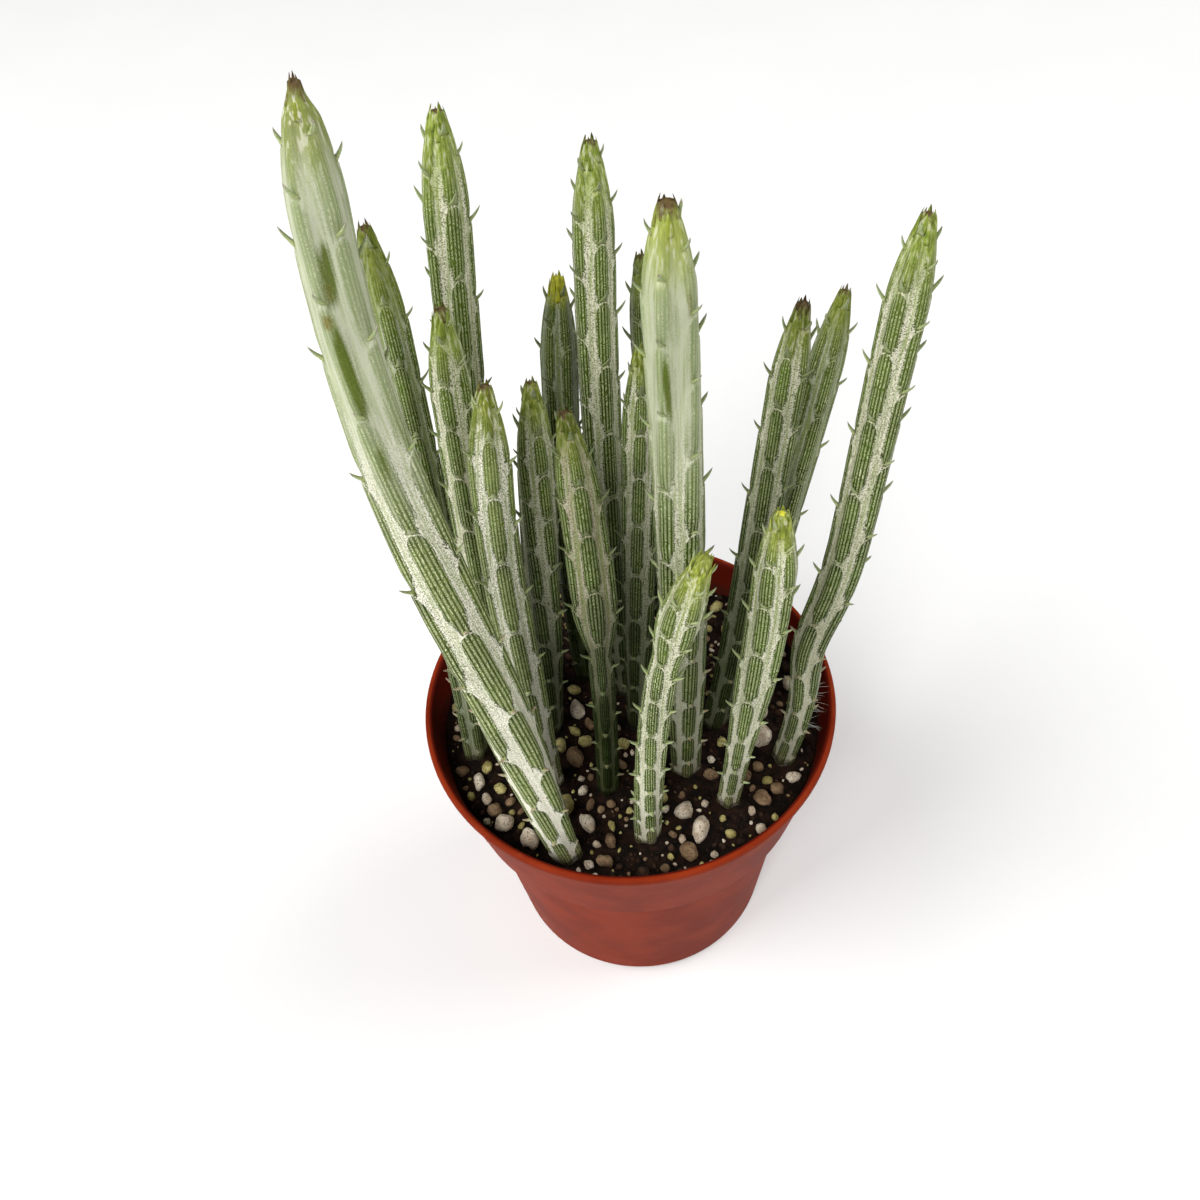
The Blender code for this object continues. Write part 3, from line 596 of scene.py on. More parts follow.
def add_body(skin, growth):
    """The stem itself: a fine ribbed skin from just inside the soil to the blunt tip."""
    length = growth.length
    rings = round((length + BODY_SUNK) / RING_SPACING)
    columns = RIBS * RIB_COLUMNS
    share = 1.0 - np.linspace(length + BODY_SUNK, BODY_TOP, rings)[:, None] / length
    column = np.arange(columns)[None, :]
    rib = column // RIB_COLUMNS
    across = -1.0 + 2.0 * (column % RIB_COLUMNS) / RIB_COLUMNS
    angle = growth.rib_angle(rib + 0.5 * across, share)
    radius = growth.radius(share) * growth.relief(share, rib, across)
    points = growth.point(share, angle, radius)
    wobble = [noise.noise(Vector(point) / WOBBLE_SIZE) for point in points.reshape(-1, 3)]
    radius = radius * (1.0 + WOBBLE * np.reshape(wobble, radius.shape))
    points = growth.point(share, angle, radius).reshape(-1, 3)
    spread = 0.5 * FULL_TURN / RIBS * growth.radius(share) / MM
    phase = growth.phase(share, rib)
    left = np.stack((across * spread, phase), axis=-1)
    right = np.stack(((across + 2.0 / RIB_COLUMNS) * spread, phase), axis=-1)
    marks = np.stack((left[:-1], right[:-1], right[1:], left[1:]), axis=2)
    apex = len(points)
    last = apex - columns
    faces = grid_faces(rings, columns)
    caps = [tuple(range(columns - 1, -1, -1))]
    caps += [(last + i, last + (i + 1) % columns, apex) for i in range(columns)]
    cap_corners = sum(len(face) for face in caps)
    each = np.broadcast_to(share, (rings, columns)).ravel()
    each = np.append(each, 1.0)
    skin.add(
        np.vstack((points, growth.centre(1.0 - BODY_POINT / length))),
        faces + caps,
        np.vstack((marks.reshape(-1, 2), np.zeros((cap_corners, 2)))),
        run=each * length / MM,
        below_tip=(1.0 - each) * length / MM,
        panel_length=growth.panel_length(each) / MM,
        panel_half=growth.panel_half(each) / MM,
        green=np.append(blotch_amount(growth, share, angle, "green"), 0.0),
        rust=np.append(blotch_amount(growth, share, angle, "rust"), 0.0),
    )


def add_blade(skin, root, bend, tip, sideways, size, mark, below_tip, widths=BLADE_HALF_WIDTHS, curl=0.0):
    """One leaf blade on a curved line from root past bend to tip. curl bends its sides round the stem."""
    steps = len(widths)
    part = np.linspace(0.0, 1.0, steps)[:, None]
    line = root * (1 - part) ** 2 + bend * 2 * part * (1 - part) + tip * part**2
    toward = unit(np.gradient(line, axis=0))
    flat = unit(np.cross(toward, sideways))
    wide = unit(np.cross(flat, toward))
    turns = FULL_TURN * np.arange(BLADE_SIDES) / BLADE_SIDES
    half_wide = np.array(widths)[:, None, None] * MM * size * np.cos(turns)[None, :, None]
    half_deep = np.array(BLADE_HALF_DEPTHS)[:, None, None] * MM * size * np.sin(turns)[None, :, None]
    points = line[:, None] + wide[:, None] * half_wide + flat[:, None] * (half_deep + curl * half_wide**2)
    faces = grid_faces(steps, BLADE_SIDES)
    last = (steps - 1) * BLADE_SIDES
    faces += [tuple(range(BLADE_SIDES - 1, -1, -1)), tuple(range(last, last + BLADE_SIDES))]
    leaf = np.repeat(mark + part.ravel(), BLADE_SIDES)
    skin.add(points, faces, leaf=leaf, below_tip=below_tip)


def room_left(point, own, growths):
    """Distance from a point to the surface of the nearest other stem."""
    nearest = LIP_RADIUS
    for other in growths:
        if other is own:
            continue
        away = np.linalg.norm(other.samples - point, axis=1) - CREST_TOP * other.radius(other.sample_shares)
        nearest = min(nearest, float(away.min()))
    return nearest


def leaf_length(growth, root, toward, wanted, growths):
    """How far a leaf can reach and leave its neighbours and the pot clear."""
    reach = wanted
    while reach > LEAF_SHORTEST:
        tip = root + toward * reach
        wall_room = wall_inside(POT_HEIGHT) - math.hypot(tip[0], tip[1])
        by_wall = tip[2] < POT_HEIGHT + LEAF_CLEARANCE and wall_room < 2 * LEAF_CLEARANCE
        room_wanted = max(LEAF_CLEARANCE, LEAF_CLEARANCE_SHARE * reach)
        if room_left(tip, growth, growths) > room_wanted and not by_wall:
            break
        reach *= LEAF_SHRINK
    return max(reach, LEAF_SHORTEST)


def add_leaves(skin, growth, growths):
    """A hooked leaf at the top of every panel, as long as the CAD model's."""
    draw = random.Random(LEAF_SEED)
    for row in range(growth.rows):
        for rib in range(RIBS):
            share = growth.panel_top(rib, row)
            angle = growth.rib_angle(rib, share)
            out = growth.out(share, angle)
            along = growth.along(share)
            rise = growth.leaf_rise(share)
            toward = out * math.cos(rise) + along * math.sin(rise)
            root = growth.point(share + LEAF_ROOT_HEIGHT / growth.length, angle, growth.radius(share))
            unevenness = draw.uniform(-LEAF_UNEVENNESS, LEAF_UNEVENNESS)
            wanted = growth.leaf_reach(share) * (1.0 + unevenness)
            reach = leaf_length(growth, root, toward, wanted, growths) * BLADE_KEPT
            low = rise - BLADE_HOOK
            first = out * math.cos(low) + along * math.sin(low)
            size = BLADE_LEAST_SIZE + (1.0 - BLADE_LEAST_SIZE) * min(1.0, reach / BLADE_FULL_REACH)
            add_blade(
                skin,
                root - out * BLADE_IN,
                root + first * reach * BLADE_HOOK_SHARE,
                root + toward * reach,
                np.cross(along, out),
                size,
                LEAF_MARK,
                (1.0 - share) * growth.length / MM,
            )


def add_crown(skin, growth, look):
    """Young leaves round the tip, each lying on those inside it, and ending in a jagged point."""
    draw = random.Random(CROWN_SEED)
    for i in range(look.crown):
        inner = i / (look.crown - 1)
        depth = CROWN_DEEPEST + (CROWN_SHALLOWEST - CROWN_DEEPEST) * inner
        reach_share = CROWN_REACH[0] + (CROWN_REACH[1] - CROWN_REACH[0]) * inner
        reach = depth * (reach_share + CROWN_UNEVENNESS * draw.random())
        away = math.sin(math.radians(look.spread)) * (1.0 - inner) * reach
        angle = GOLDEN_TURN * i
        line = []
        for part, radius_share in zip((0.0, 0.5, 1.0), CROWN_RADII):
            share = 1.0 - (depth - reach * part) / growth.length
            radius = growth.radius(share) * radius_share + away * part**2
            line.append(growth.point(share, angle, radius))
        root_share = 1.0 - depth / growth.length
        sideways = np.cross(growth.along(root_share), growth.out(root_share, angle))
        size = growth.radius(root_share) / CROWN_FULL_RADIUS
        curl = 0.5 / growth.radius(root_share)
        below_tip = (depth - reach * 0.5) / MM
        add_blade(skin, *line, sideways, size, CROWN_MARK, below_tip, CROWN_HALF_WIDTHS, curl)


def add_hairs(skin, growth):
    """Fine root hairs low on one side of the stem."""
    draw = random.Random(HAIR_SEED)
    for _ in range(HAIR_COUNT):
        share = draw.uniform(*HAIR_HEIGHTS) / growth.length
        angle = math.radians(draw.uniform(*HAIR_ANGLES))
        out = growth.out(share, angle)
        along = growth.along(share)
        reach = draw.uniform(*HAIR_REACH)
        root = growth.point(share, angle, growth.radius(share) * GROOVE)
        lift = along * draw.uniform(*HAIR_LIFT)
        bend = root + (out + lift) * reach * 0.5
        tip = root + (out - lift * HAIR_DROOP) * reach
        add_blade(skin, root, bend, tip, np.cross(along, out), HAIR_SIZE, HAIR_MARK, growth.length / MM)


def wall_outside(height):
    """Radius of the pot's outside at a height, without the lip's bead."""
    band_foot = POT_HEIGHT - BAND_HEIGHT
    if height >= band_foot:
        share = (height - band_foot) / BAND_HEIGHT
        return BAND_FOOT_RADIUS + share * (LIP_RADIUS - LIP_BEAD_DEPTH - BAND_FOOT_RADIUS)
    return BASE_RADIUS + height / band_foot * (BODY_TOP_RADIUS - BASE_RADIUS)


def wall_inside(height):
    """Radius of the pot's inside at a height. The step lies one wall higher inside than outside."""
    step = POT_HEIGHT - BAND_HEIGHT + WALL
    if height >= step:
        return wall_outside(height) - WALL
    return min(wall_outside(height), BODY_TOP_RADIUS) - WALL


def pot_profile():
    """From the middle of the floor up the inside, over the lip and down the outside to the axis."""
    band_foot = POT_HEIGHT - BAND_HEIGHT
    step = band_foot + WALL
    bead_foot = POT_HEIGHT - LIP_BEAD_HEIGHT
    edge = EDGE_ROUNDING
    return (
        (0.0, FLOOR),
        (wall_inside(FLOOR) - BASE_ROUNDING, FLOOR),
        (wall_inside(FLOOR + BASE_ROUNDING), FLOOR + BASE_ROUNDING),
        (BODY_TOP_RADIUS - WALL, step - WALL),
        (wall_inside(step), step),
        (wall_inside(POT_HEIGHT - edge), POT_HEIGHT - edge),
        (wall_inside(POT_HEIGHT) + edge, POT_HEIGHT),
        (LIP_RADIUS - edge, POT_HEIGHT),
        (LIP_RADIUS, POT_HEIGHT - edge),
        (LIP_RADIUS, bead_foot + edge),
        (wall_outside(bead_foot), bead_foot),
        (wall_outside(band_foot + edge), band_foot + edge),
        (BAND_FOOT_RADIUS - edge, band_foot),
        (BODY_TOP_RADIUS, band_foot - edge),
        (wall_outside(BASE_ROUNDING), BASE_ROUNDING),
        (BASE_RADIUS - BASE_ROUNDING, 0.0),
        (0.0, 0.0),
    )


def rounded(profile):
    """The profile with a short curve in place of each corner between its ends."""
    points = [profile[0]]
    for trio in zip(profile, profile[1:], profile[2:]):
        before, corner, after = (np.array(point) for point in trio)
        back = before - corner
        ahead = after - corner
        start = corner + back * min(CORNER_SHARE, CORNER / np.linalg.norm(back))
        end = corner + ahead * min(CORNER_SHARE, CORNER / np.linalg.norm(ahead))
        for i in range(CORNER_STEPS + 1):
            part = i / CORNER_STEPS
            points.append(start * (1 - part) ** 2 + corner * 2 * part * (1 - part) + end * part**2)
    points.append(profile[-1])
    return points


def turned_mesh(name, profile, steps):
    """A closed solid of revolution about Z, of a profile that starts and ends on the axis."""
    rings = np.array([tuple(point) for point in profile[1:-1]])
    turns = FULL_TURN * np.arange(steps)[None, :] / steps
    x = rings[:, :1] * np.cos(turns)
    y = rings[:, :1] * np.sin(turns)
    z = np.broadcast_to(rings[:, 1:], x.shape)
    points = np.stack((x, y, z), axis=-1).reshape(-1, 3)
    first, last = len(points), len(points) + 1
    top = len(points) - steps
    faces = grid_faces(len(rings), steps)
    faces += [((i + 1) % steps, i, first) for i in range(steps)]
    faces += [(top + i, top + (i + 1) % steps, last) for i in range(steps)]
    points = np.vstack((points, (0.0, 0.0, profile[0][1]), (0.0, 0.0, profile[-1][1])))
    mesh = bpy.data.meshes.new(name)
    mesh.from_pydata(points.tolist(), [], faces)
    face_outward(mesh)
    return mesh


def put(name, data):
    """A new object of the scene."""
    thing = bpy.data.objects.new(name, data)
    bpy.context.scene.collection.objects.link(thing)
    return thing


def add_piece(name, mesh, material, slot, *nodes):
    """A piece of the object: its material, the body it rides on and the CAD nodes that it stands for."""
    mesh.materials.clear()
    mesh.materials.append(material)
    piece = put(name, mesh)
    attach(piece, "root")
    if nodes:
        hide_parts(*nodes)
    return piece


def make_pot(material):
    """The pot, with round edges and its drainage holes."""
    pot = put("pot_body", turned_mesh("pot_body", rounded(pot_profile()), POT_STEPS))
    cutters = bpy.data.collections.new("drain_cutters")
    bpy.context.scene.collection.children.link(cutters)
    for i in range(DRAIN_COUNT):
        angle = FULL_TURN * i / DRAIN_COUNT
        hole = bpy.data.meshes.new("drain_hole")
        work = bmesh.new()
        bmesh.ops.create_cone(
            work,
            cap_ends=True,
            segments=DRAIN_SIDES,
            radius1=DRAIN_RADIUS,
            radius2=DRAIN_RADIUS,
            depth=DRAIN_CUT,
        )
        work.to_mesh(hole)
        work.free()
        cutter = bpy.data.objects.new("drain_hole", hole)
        cutter.location = (DRAIN_CIRCLE * math.cos(angle), DRAIN_CIRCLE * math.sin(angle), 0.0)
        cutters.objects.link(cutter)
    boolean = pot.modifiers.new("cut", "BOOLEAN")
    boolean.operation = "DIFFERENCE"
    boolean.operand_type = "COLLECTION"
    boolean.collection = cutters
    boolean.solver = "EXACT"
    graph = bpy.context.evaluated_depsgraph_get()
    graph.update()
    cut_mesh = bpy.data.meshes.new_from_object(pot.evaluated_get(graph))
    bpy.data.objects.remove(pot)
    for cutter in list(cutters.objects):
        bpy.data.objects.remove(cutter)
    bpy.data.collections.remove(cutters)
    cut_mesh.shade_smooth()
    cut_mesh.set_sharp_from_angle(angle=SMOOTH_BELOW)
    return add_piece("pot_body", cut_mesh, material, "pot", "pot")


def soil_height(x, y, layers):
    """Height of the soil's lumpy surface, which dips a little where it meets the pot."""
    spot = Vector((x, y, 0.0))
    lumps = sum(height * noise.noise(spot / size) for height, size in layers)
    to_edge = math.hypot(x, y) / wall_inside(SOIL_LEVEL)
    return SOIL_LEVEL + lumps - EDGE_DIP * to_edge**EDGE_DIP_POWER


def make_soil(material):
    """The soil that fills the pot, with a crumbly top."""
    outer = wall_inside(SOIL_LEVEL) - GAP
    step = POT_HEIGHT - BAND_HEIGHT + WALL
    profile = [(outer * i / SOIL_RINGS, SOIL_LEVEL) for i in range(SOIL_RINGS + 1)]
    profile += [
        (wall_inside(step) - GAP, step + GAP),
        (BODY_TOP_RADIUS - WALL - GAP, step - WALL + GAP),
        (wall_inside(FLOOR + BASE_ROUNDING) - 2 * GAP, FLOOR + BASE_ROUNDING + GAP),
        (wall_inside(FLOOR) - BASE_ROUNDING - 2 * GAP, FLOOR + GAP),
        (0.0, FLOOR + GAP),
    ]
    mesh = turned_mesh("soil_top", profile, SOIL_STEPS)
    for vertex in mesh.vertices:
        x, y, z = vertex.co
        if z > SOIL_LEVEL - GAP:
            vertex.co.z = soil_height(x, y, LUMPS + FINE_CRUMBS)
    return add_piece("soil_top", mesh, material, "soil", "soil")


def grain_chance(distance, angle, room):
    """How likely a grain is to lie at a spot: most likely by the rim, on the thick side."""
    side = max(0.0, math.cos(angle - GRAIN_THICK_SIDE))
    by_side = GRAIN_THIN_SIDE_CHANCE + (1.0 - GRAIN_THIN_SIDE_CHANCE) * side
    return GRAIN_LEAST_CHANCE + (1.0 - GRAIN_LEAST_CHANCE) * by_side * (distance / room) ** 2


def clear_of_stems(spot, size, growths):
    """Whether a grain at a spot leaves every stem's lower part clear."""
    for growth in growths:
        room_wanted = size * GRAIN_REACH + growth.radius(0.0) * CREST_TOP + 3 * GAP
        low = growth.samples[:LOWEST_SAMPLES]
        if np.linalg.norm(low - spot, axis=1).min() < room_wanted:
            return False
    return True


def grain_places(scatter, count, growths, taken, sector=(0.0, FULL_TURN)):
    """Places and sizes of grains, clear of each other, the stems and the wall."""
    draw = random.Random(scatter.seed)
    room = wall_inside(SOIL_LEVEL) - 2 * GAP
    places = []
    for _ in range(scatter.tries):
        if len(places) == count:
            break
        share = draw.random()
        distance = room * math.sqrt(draw.random())
        angle = draw.uniform(*sector)
        chance = grain_chance(distance, angle, room)
        wanted = draw.random() < chance
        largeness = share**scatter.power * chance ** (scatter.power - 1.0)
        size = scatter.small + (scatter.large - scatter.small) * largeness
        x, y = distance * math.cos(angle), distance * math.sin(angle)
        inside = distance + size * GRAIN_REACH < room
        apart = all(math.hypot(x - a, y - b) > size + other for a, b, other in places + taken)
        if wanted and inside and apart and clear_of_stems(np.array((x, y, SOIL_LEVEL)), size, growths):
            places.append((x, y, size))
    return places


def add_grain(work, draw, spot, cuts, roughness):
    """One angular, pitted grain, half sunk in the soil."""
    x, y, size = spot
    grain = bmesh.new()
    bmesh.ops.create_icosphere(grain, subdivisions=1, radius=1.0)
    for vertex in grain.verts:
        vertex.co *= draw.uniform(*roughness)
    bmesh.ops.subdivide_edges(
        grain, edges=grain.edges, cuts=cuts, use_grid_fill=True, smooth=GRAIN_SMOOTHING
    )
    place_of_noise = Vector((x, y, 0.0)) / MM
    for vertex in grain.verts:
        pits = sum(depth * noise.noise(vertex.co / width + place_of_noise) for depth, width in GRAIN_PITS)
        vertex.co *= 1.0 + pits
    flat = draw.uniform(*GRAIN_FLATNESS)
    wide = draw.uniform(*GRAIN_FLATNESS)
    turn = Matrix.Rotation(draw.uniform(0.0, FULL_TURN), 4, "Z")
    tilt = Matrix.Rotation(draw.uniform(-GRAIN_TILT, GRAIN_TILT), 4, "X")
    height = soil_height(x, y, LUMPS) + size * flat * (1.0 - 2.0 * GRAIN_SUNK)
    squash = Matrix.Diagonal((size, size * wide, size * flat, 1.0))
    grain.transform(Matrix.Translation((x, y, height)) @ turn @ tilt @ squash)
    mesh = bpy.data.meshes.new("grain")
    grain.to_mesh(mesh)
    grain.free()
    work.from_mesh(mesh)
    bpy.data.meshes.remove(mesh)


def make_grains(growths, materials):
    """The pumice and the crumbs, sorted into one piece for each colour."""
    large = grain_places(GRAINS, GRAIN_COUNT, growths, [])
    for first, last, count in CHUNK_SECTORS:
        large += grain_places(CHUNKS, count, growths, large, (math.radians(first), math.radians(last)))
    small = grain_places(CRUMBS, CRUMB_COUNT, growths, large)
    names = list(materials)
    piles = {name: bmesh.new() for name in names}
    form = random.Random(GRAINS.seed)
    pick = random.Random(CRUMBS.seed)
    stones = [name for name in names if name != "soil_crumbs"]
    for spot in large:
        add_grain(piles[pick.choice(stones)], form, spot, GRAIN_CUTS, GRAIN_ROUGHNESS)
    mostly_crumbs = names + ["soil_crumbs"] * SOIL_CHANCES
    for spot in small:
        add_grain(piles[pick.choice(mostly_crumbs)], form, spot, CRUMB_CUTS, CRUMB_ROUGHNESS)
    for name, pile in piles.items():
        mesh = bpy.data.meshes.new(name)
        pile.to_mesh(mesh)
        pile.free()
        face_outward(mesh)
        add_piece(name, mesh, materials[name], "soil")


class Value:
    """A number or colour in a material's nodes. Sums and products of values make the nodes for them."""

    def __init__(self, nodes, socket):
        self.nodes = nodes
        self.socket = socket

    def __add__(self, other):
        return self.nodes.maths("ADD", self, other)

    def __radd__(self, other):
        return self.nodes.maths("ADD", other, self)

    def __sub__(self, other):
        return self.nodes.maths("SUBTRACT", self, other)

    def __rsub__(self, other):
        return self.nodes.maths("SUBTRACT", other, self)

    def __mul__(self, other):
        return self.nodes.maths("MULTIPLY", self, other)

    def __truediv__(self, other):
        return self.nodes.maths("DIVIDE", self, other)

    def size(self):
        """The value without its sign."""
        return self.nodes.maths("ABSOLUTE", self)

    def part(self):
        """What is left of the value above the whole number below it."""
        return self.nodes.maths("FRACT", self)

    def root(self):
        """The square root, where the value is above 0."""
        return self.nodes.maths("SQRT", self.nodes.maths("MAXIMUM", self, 0.0))

    def least(self, other):
        """The smaller of two values."""
        return self.nodes.maths("MINIMUM", self, other)

    def below(self, limit):
        """1 where the value is below the limit, and else 0."""
        return self.nodes.maths("LESS_THAN", self, limit)

    def step(self, low, high):
        """0 up to low and 1 from high, or the other way round where high is the smaller."""
        node = self.nodes.add("ShaderNodeMapRange", interpolation_type="SMOOTHSTEP")
        self.nodes.feed(node.inputs["Value"], self)
        start, end = (low, high) if low < high else (high, low)
        node.inputs["From Min"].default_value = start
        node.inputs["From Max"].default_value = end
        node.inputs["To Min"].default_value = 0.0 if low < high else 1.0
        node.inputs["To Max"].default_value = 1.0 if low < high else 0.0
        return Value(self.nodes, node.outputs["Result"])


class Nodes:
    """Short ways to build one material."""

    def __init__(self, name, roughness, specular):
        self.material = bpy.data.materials.new(name)
        self.material.use_nodes = True
        self.tree = self.material.node_tree
        self.shader = self.tree.nodes["Principled BSDF"]
        self.shader.inputs["Roughness"].default_value = roughness
        self.shader.inputs["Specular IOR Level"].default_value = specular

    def add(self, kind, **settings):
        """A node of that kind."""
        node = self.tree.nodes.new(kind)
        for name, value in settings.items():
            setattr(node, name, value)
        return node

    def feed(self, socket, value):
        """Gives a socket a value, whether from a node or a constant."""
        if isinstance(value, Value):
            self.tree.links.new(value.socket, socket)
        else:
            socket.default_value = value

    def maths(self, operation, *values):
        """A sum, product or other operation."""
        node = self.add("ShaderNodeMath", operation=operation)
        for socket, value in zip(node.inputs, values):
            self.feed(socket, value)
        return Value(self, node.outputs[0])

    def mix(self, share, first, second):
        """A colour between two colours, each a value or a colour from 0 to 255."""
        node = self.add("ShaderNodeMix", data_type="RGBA")
        self.feed(node.inputs[0], share)
        for socket, colour in ((node.inputs[6], first), (node.inputs[7], second)):
            self.feed(socket, colour if isinstance(colour, Value) else linear(colour))
        return Value(self, node.outputs[2])

    def layers(self, colour, *layers):
        """The colour with others laid over it in turn, each a pair of its share and its colour."""
        for share, over in layers:
            colour = self.mix(share, colour, over)
        return colour

    def darken(self, share, colour, shade):
        """The colour multiplied by a colour of painted shade."""
        node = self.add("ShaderNodeMix", data_type="RGBA", blend_type="MULTIPLY")
        self.feed(node.inputs[0], share)
        self.feed(node.inputs[6], colour)
        self.feed(node.inputs[7], linear(shade))
        return Value(self, node.outputs[2])

    def place(self):
        """Where the spot lies on the object, in millimetres."""
        node = self.add("ShaderNodeTexCoord")
        scale = self.add("ShaderNodeVectorMath", operation="SCALE")
        self.tree.links.new(node.outputs["Object"], scale.inputs[0])
        scale.inputs["Scale"].default_value = 1.0 / MM
        return Value(self, scale.outputs[0])

    def join(self, *parts):
        """A vector of up to three values."""
        node = self.add("ShaderNodeCombineXYZ")
        for socket, part in zip(node.inputs, parts):
            self.feed(socket, part)
        return Value(self, node.outputs[0])

    def split(self, vector):
        """The three parts of a vector."""
        node = self.add("ShaderNodeSeparateXYZ")
        self.feed(node.inputs[0], vector)
        return [Value(self, socket) for socket in node.outputs]

    def noise(self, vector, width=1.0, detail=2.0):
        """Soft random patches of about that width in millimetres, from 0 to 1."""
        node = self.add("ShaderNodeTexNoise")
        self.feed(node.inputs["Vector"], vector)
        node.inputs["Scale"].default_value = 1.0 / width
        node.inputs["Detail"].default_value = detail
        return Value(self, node.outputs["Fac"])

    def value(self, name):
        """A value that the mesh carries."""
        node = self.add("ShaderNodeAttribute", attribute_name=name)
        return Value(self, node.outputs["Fac"])

    def mark(self):
        """The two numbers that the mesh carries at each corner: the place across a rib, and the panel."""
        node = self.add("ShaderNodeUVMap", uv_map="panel")
        return self.split(Value(self, node.outputs["UV"]))[:2]

    def finish(self, colour, height, depth, roughness=None):
        """Joins colour, roughness and bump to the shader. depth is the bump's depth in millimetres."""
        bump = self.add("ShaderNodeBump")
        bump.inputs["Strength"].default_value = BUMP_STRENGTH
        bump.inputs["Distance"].default_value = depth * MM
        self.feed(bump.inputs["Height"], height)
        self.tree.links.new(bump.outputs["Normal"], self.shader.inputs["Normal"])
        self.feed(self.shader.inputs["Base Color"], colour)
        if roughness:
            self.feed(self.shader.inputs["Roughness"], roughness)
        return self.material


# The panels' pattern in millimetres: the pale scar above each, how its foot narrows, its dark outline and
# top, and the rows of pale stitches along it. A pair is where a mark starts and where it is full
SCAR_WIDTH = 0.26
FOOT_WIDTH_SHARE = 0.36
FOOT_WIDER_HIGH = 0.22
FOOT_WIDENS = (0.25, 0.7)
FOOT_LENGTH_SHARE = 0.4
OUTLINE = (0.34, 0.08)
DARK_TOP = (2.4, 0.5)
ROW_PITCH = 0.365
ROW_WIDTH = (0.36, 0.15)
STITCH_PITCH = 0.82
STITCH_WIDTH = (0.33, 0.13)

# Sizes in millimetres of the patches that vary a stem's colours, and of streaks across and along it
BROAD = 9.0
MEDIUM = 1.1
FINE = 0.27
STREAK_SIZE = (0.5, 10.0)
SOFT_STREAK_SIZE = (1.1, 26.0)
STITCH_UNEVENNESS = (0.5, 4.0)
CAP_LINE_SIZE = (0.5, 9.0)

# Where on a stem its colours change: shares of its height, then millimetres above the soil or below the tip
WASHED_SHARES = (0.54, 0.78)
MOTTLED_SHARES = (0.1, 0.45)
PALER_SHARES = (0.55, 0.95)
# The painted shade over a stem's lower half is full up to the second of these shares and gone from the first
SHADED_SHARES = (0.78, 0.2)
WOODY_HEIGHTS = (8.0, 1.0)
STAINED_HEIGHTS = (2.0, 0.2)
DRIED_BELOW_TIP = (85.0, 105.0)


def place_on_panel(nodes, spot):
    """Adds where the spot lies on its panel, which has an arched top and a narrower foot."""
    length = nodes.value("panel_length")
    spot.half = half = nodes.value("panel_half")
    spot.side = side = spot.across.size()
    arch = (half - (half * half - side * side).root()) * PANEL_ARCH
    inside = spot.phase.part()
    top = (1.0 - inside) * length - arch
    over = top.below(0.0)
    spot.above = (inside * length + arch) * (1.0 - over) - top * over
    spot.below = top + (length - top) * over
    foot_share = spot.high.step(*FOOT_WIDENS) * FOOT_WIDER_HIGH + FOOT_WIDTH_SHARE
    fullness = (spot.above / length).step(0.0, FOOT_LENGTH_SHARE) * (1.0 - foot_share) + foot_share
    spot.edge = (half * fullness - side).least(spot.below).least(spot.above - SCAR_WIDTH)


def streaks(nodes, spot, size, slant, detail):
    """Noise drawn out along the stem, of that width and length, which slant shifts from panel to panel."""
    wide, long = size
    return nodes.noise(nodes.join(spot.across / wide, spot.run / long, spot.phase * slant), detail=detail)


def stem_spot(nodes, look):
    """Where a spot lies on its stem and its panel, and what its colours share."""
    spot = SimpleNamespace()
    spot.across, spot.phase = nodes.mark()
    spot.run = nodes.value("run")
    spot.below_tip = nodes.value("below_tip")
    spot.place = nodes.place()
    spot.broad = nodes.noise(spot.place, BROAD)
    spot.medium = nodes.noise(spot.place, MEDIUM)
    spot.fine = nodes.noise(spot.place, FINE)
    spot.high = spot.run / (spot.run + spot.below_tip)
    spot.washed = spot.high.step(*WASHED_SHARES) * look.pale
    place_on_panel(nodes, spot)

    # Rows of stitches: pale dashes along the panel
    spot.row = ((spot.side / (spot.half * ROW_PITCH)).part() - 0.5).size().step(*ROW_WIDTH)
    uneven_run = spot.run / STITCH_PITCH + streaks(nodes, spot, STITCH_UNEVENNESS, 1.0, 1.0) * 9.0
    dash = (uneven_run.part() - 0.5).size().step(*STITCH_WIDTH)
    spot.stitch = spot.row * dash * spot.medium.step(0.25, 0.42)

    # Streaks, and how far the panel shows through the silvery skin
    spot.streaks = streaks(nodes, spot, STREAK_SIZE, 0.1, 2.0)
    soft = streaks(nodes, spot, SOFT_STREAK_SIZE, 0.04, 1.0)
    ragged = spot.edge + (spot.medium - 0.5) * 0.5 + (spot.fine - 0.5) * 1.1
    washed_share = (ragged + (soft - 0.5) * 3.2 + (spot.streaks - 0.5) * 1.4).step(-0.4, 1.1)
    plain_share = ragged.step(-0.12, 0.16) * (1.0 - spot.washed)
    spot.panel_share = plain_share + washed_share * spot.washed * 0.62
    return spot


def silver_colour(nodes, spot, look):
    """The silvery skin between the panels: mottled, with green streaks that grow stronger upward."""
    mottle = spot.high.step(*MOTTLED_SHARES) * 0.52 + 0.30 - spot.washed * 0.56
    streak_share = spot.streaks.step(0.46, 0.60) * (spot.high * 0.75 + 0.08) * (1.0 - spot.washed * 0.6)
    return nodes.layers(
        look.silver,
        (spot.fine.step(0.45, 0.60) * mottle, MOTTLE),
        (spot.washed * 0.85, SILVER_WASHED),
        (streak_share, PANEL_PALE),
        (streak_share * spot.stitch * 0.5, look.silver),
        ((spot.edge + 0.3).size().step(0.28, 0.06) * (1.0 - spot.washed) * 0.25, FLANK),
    )


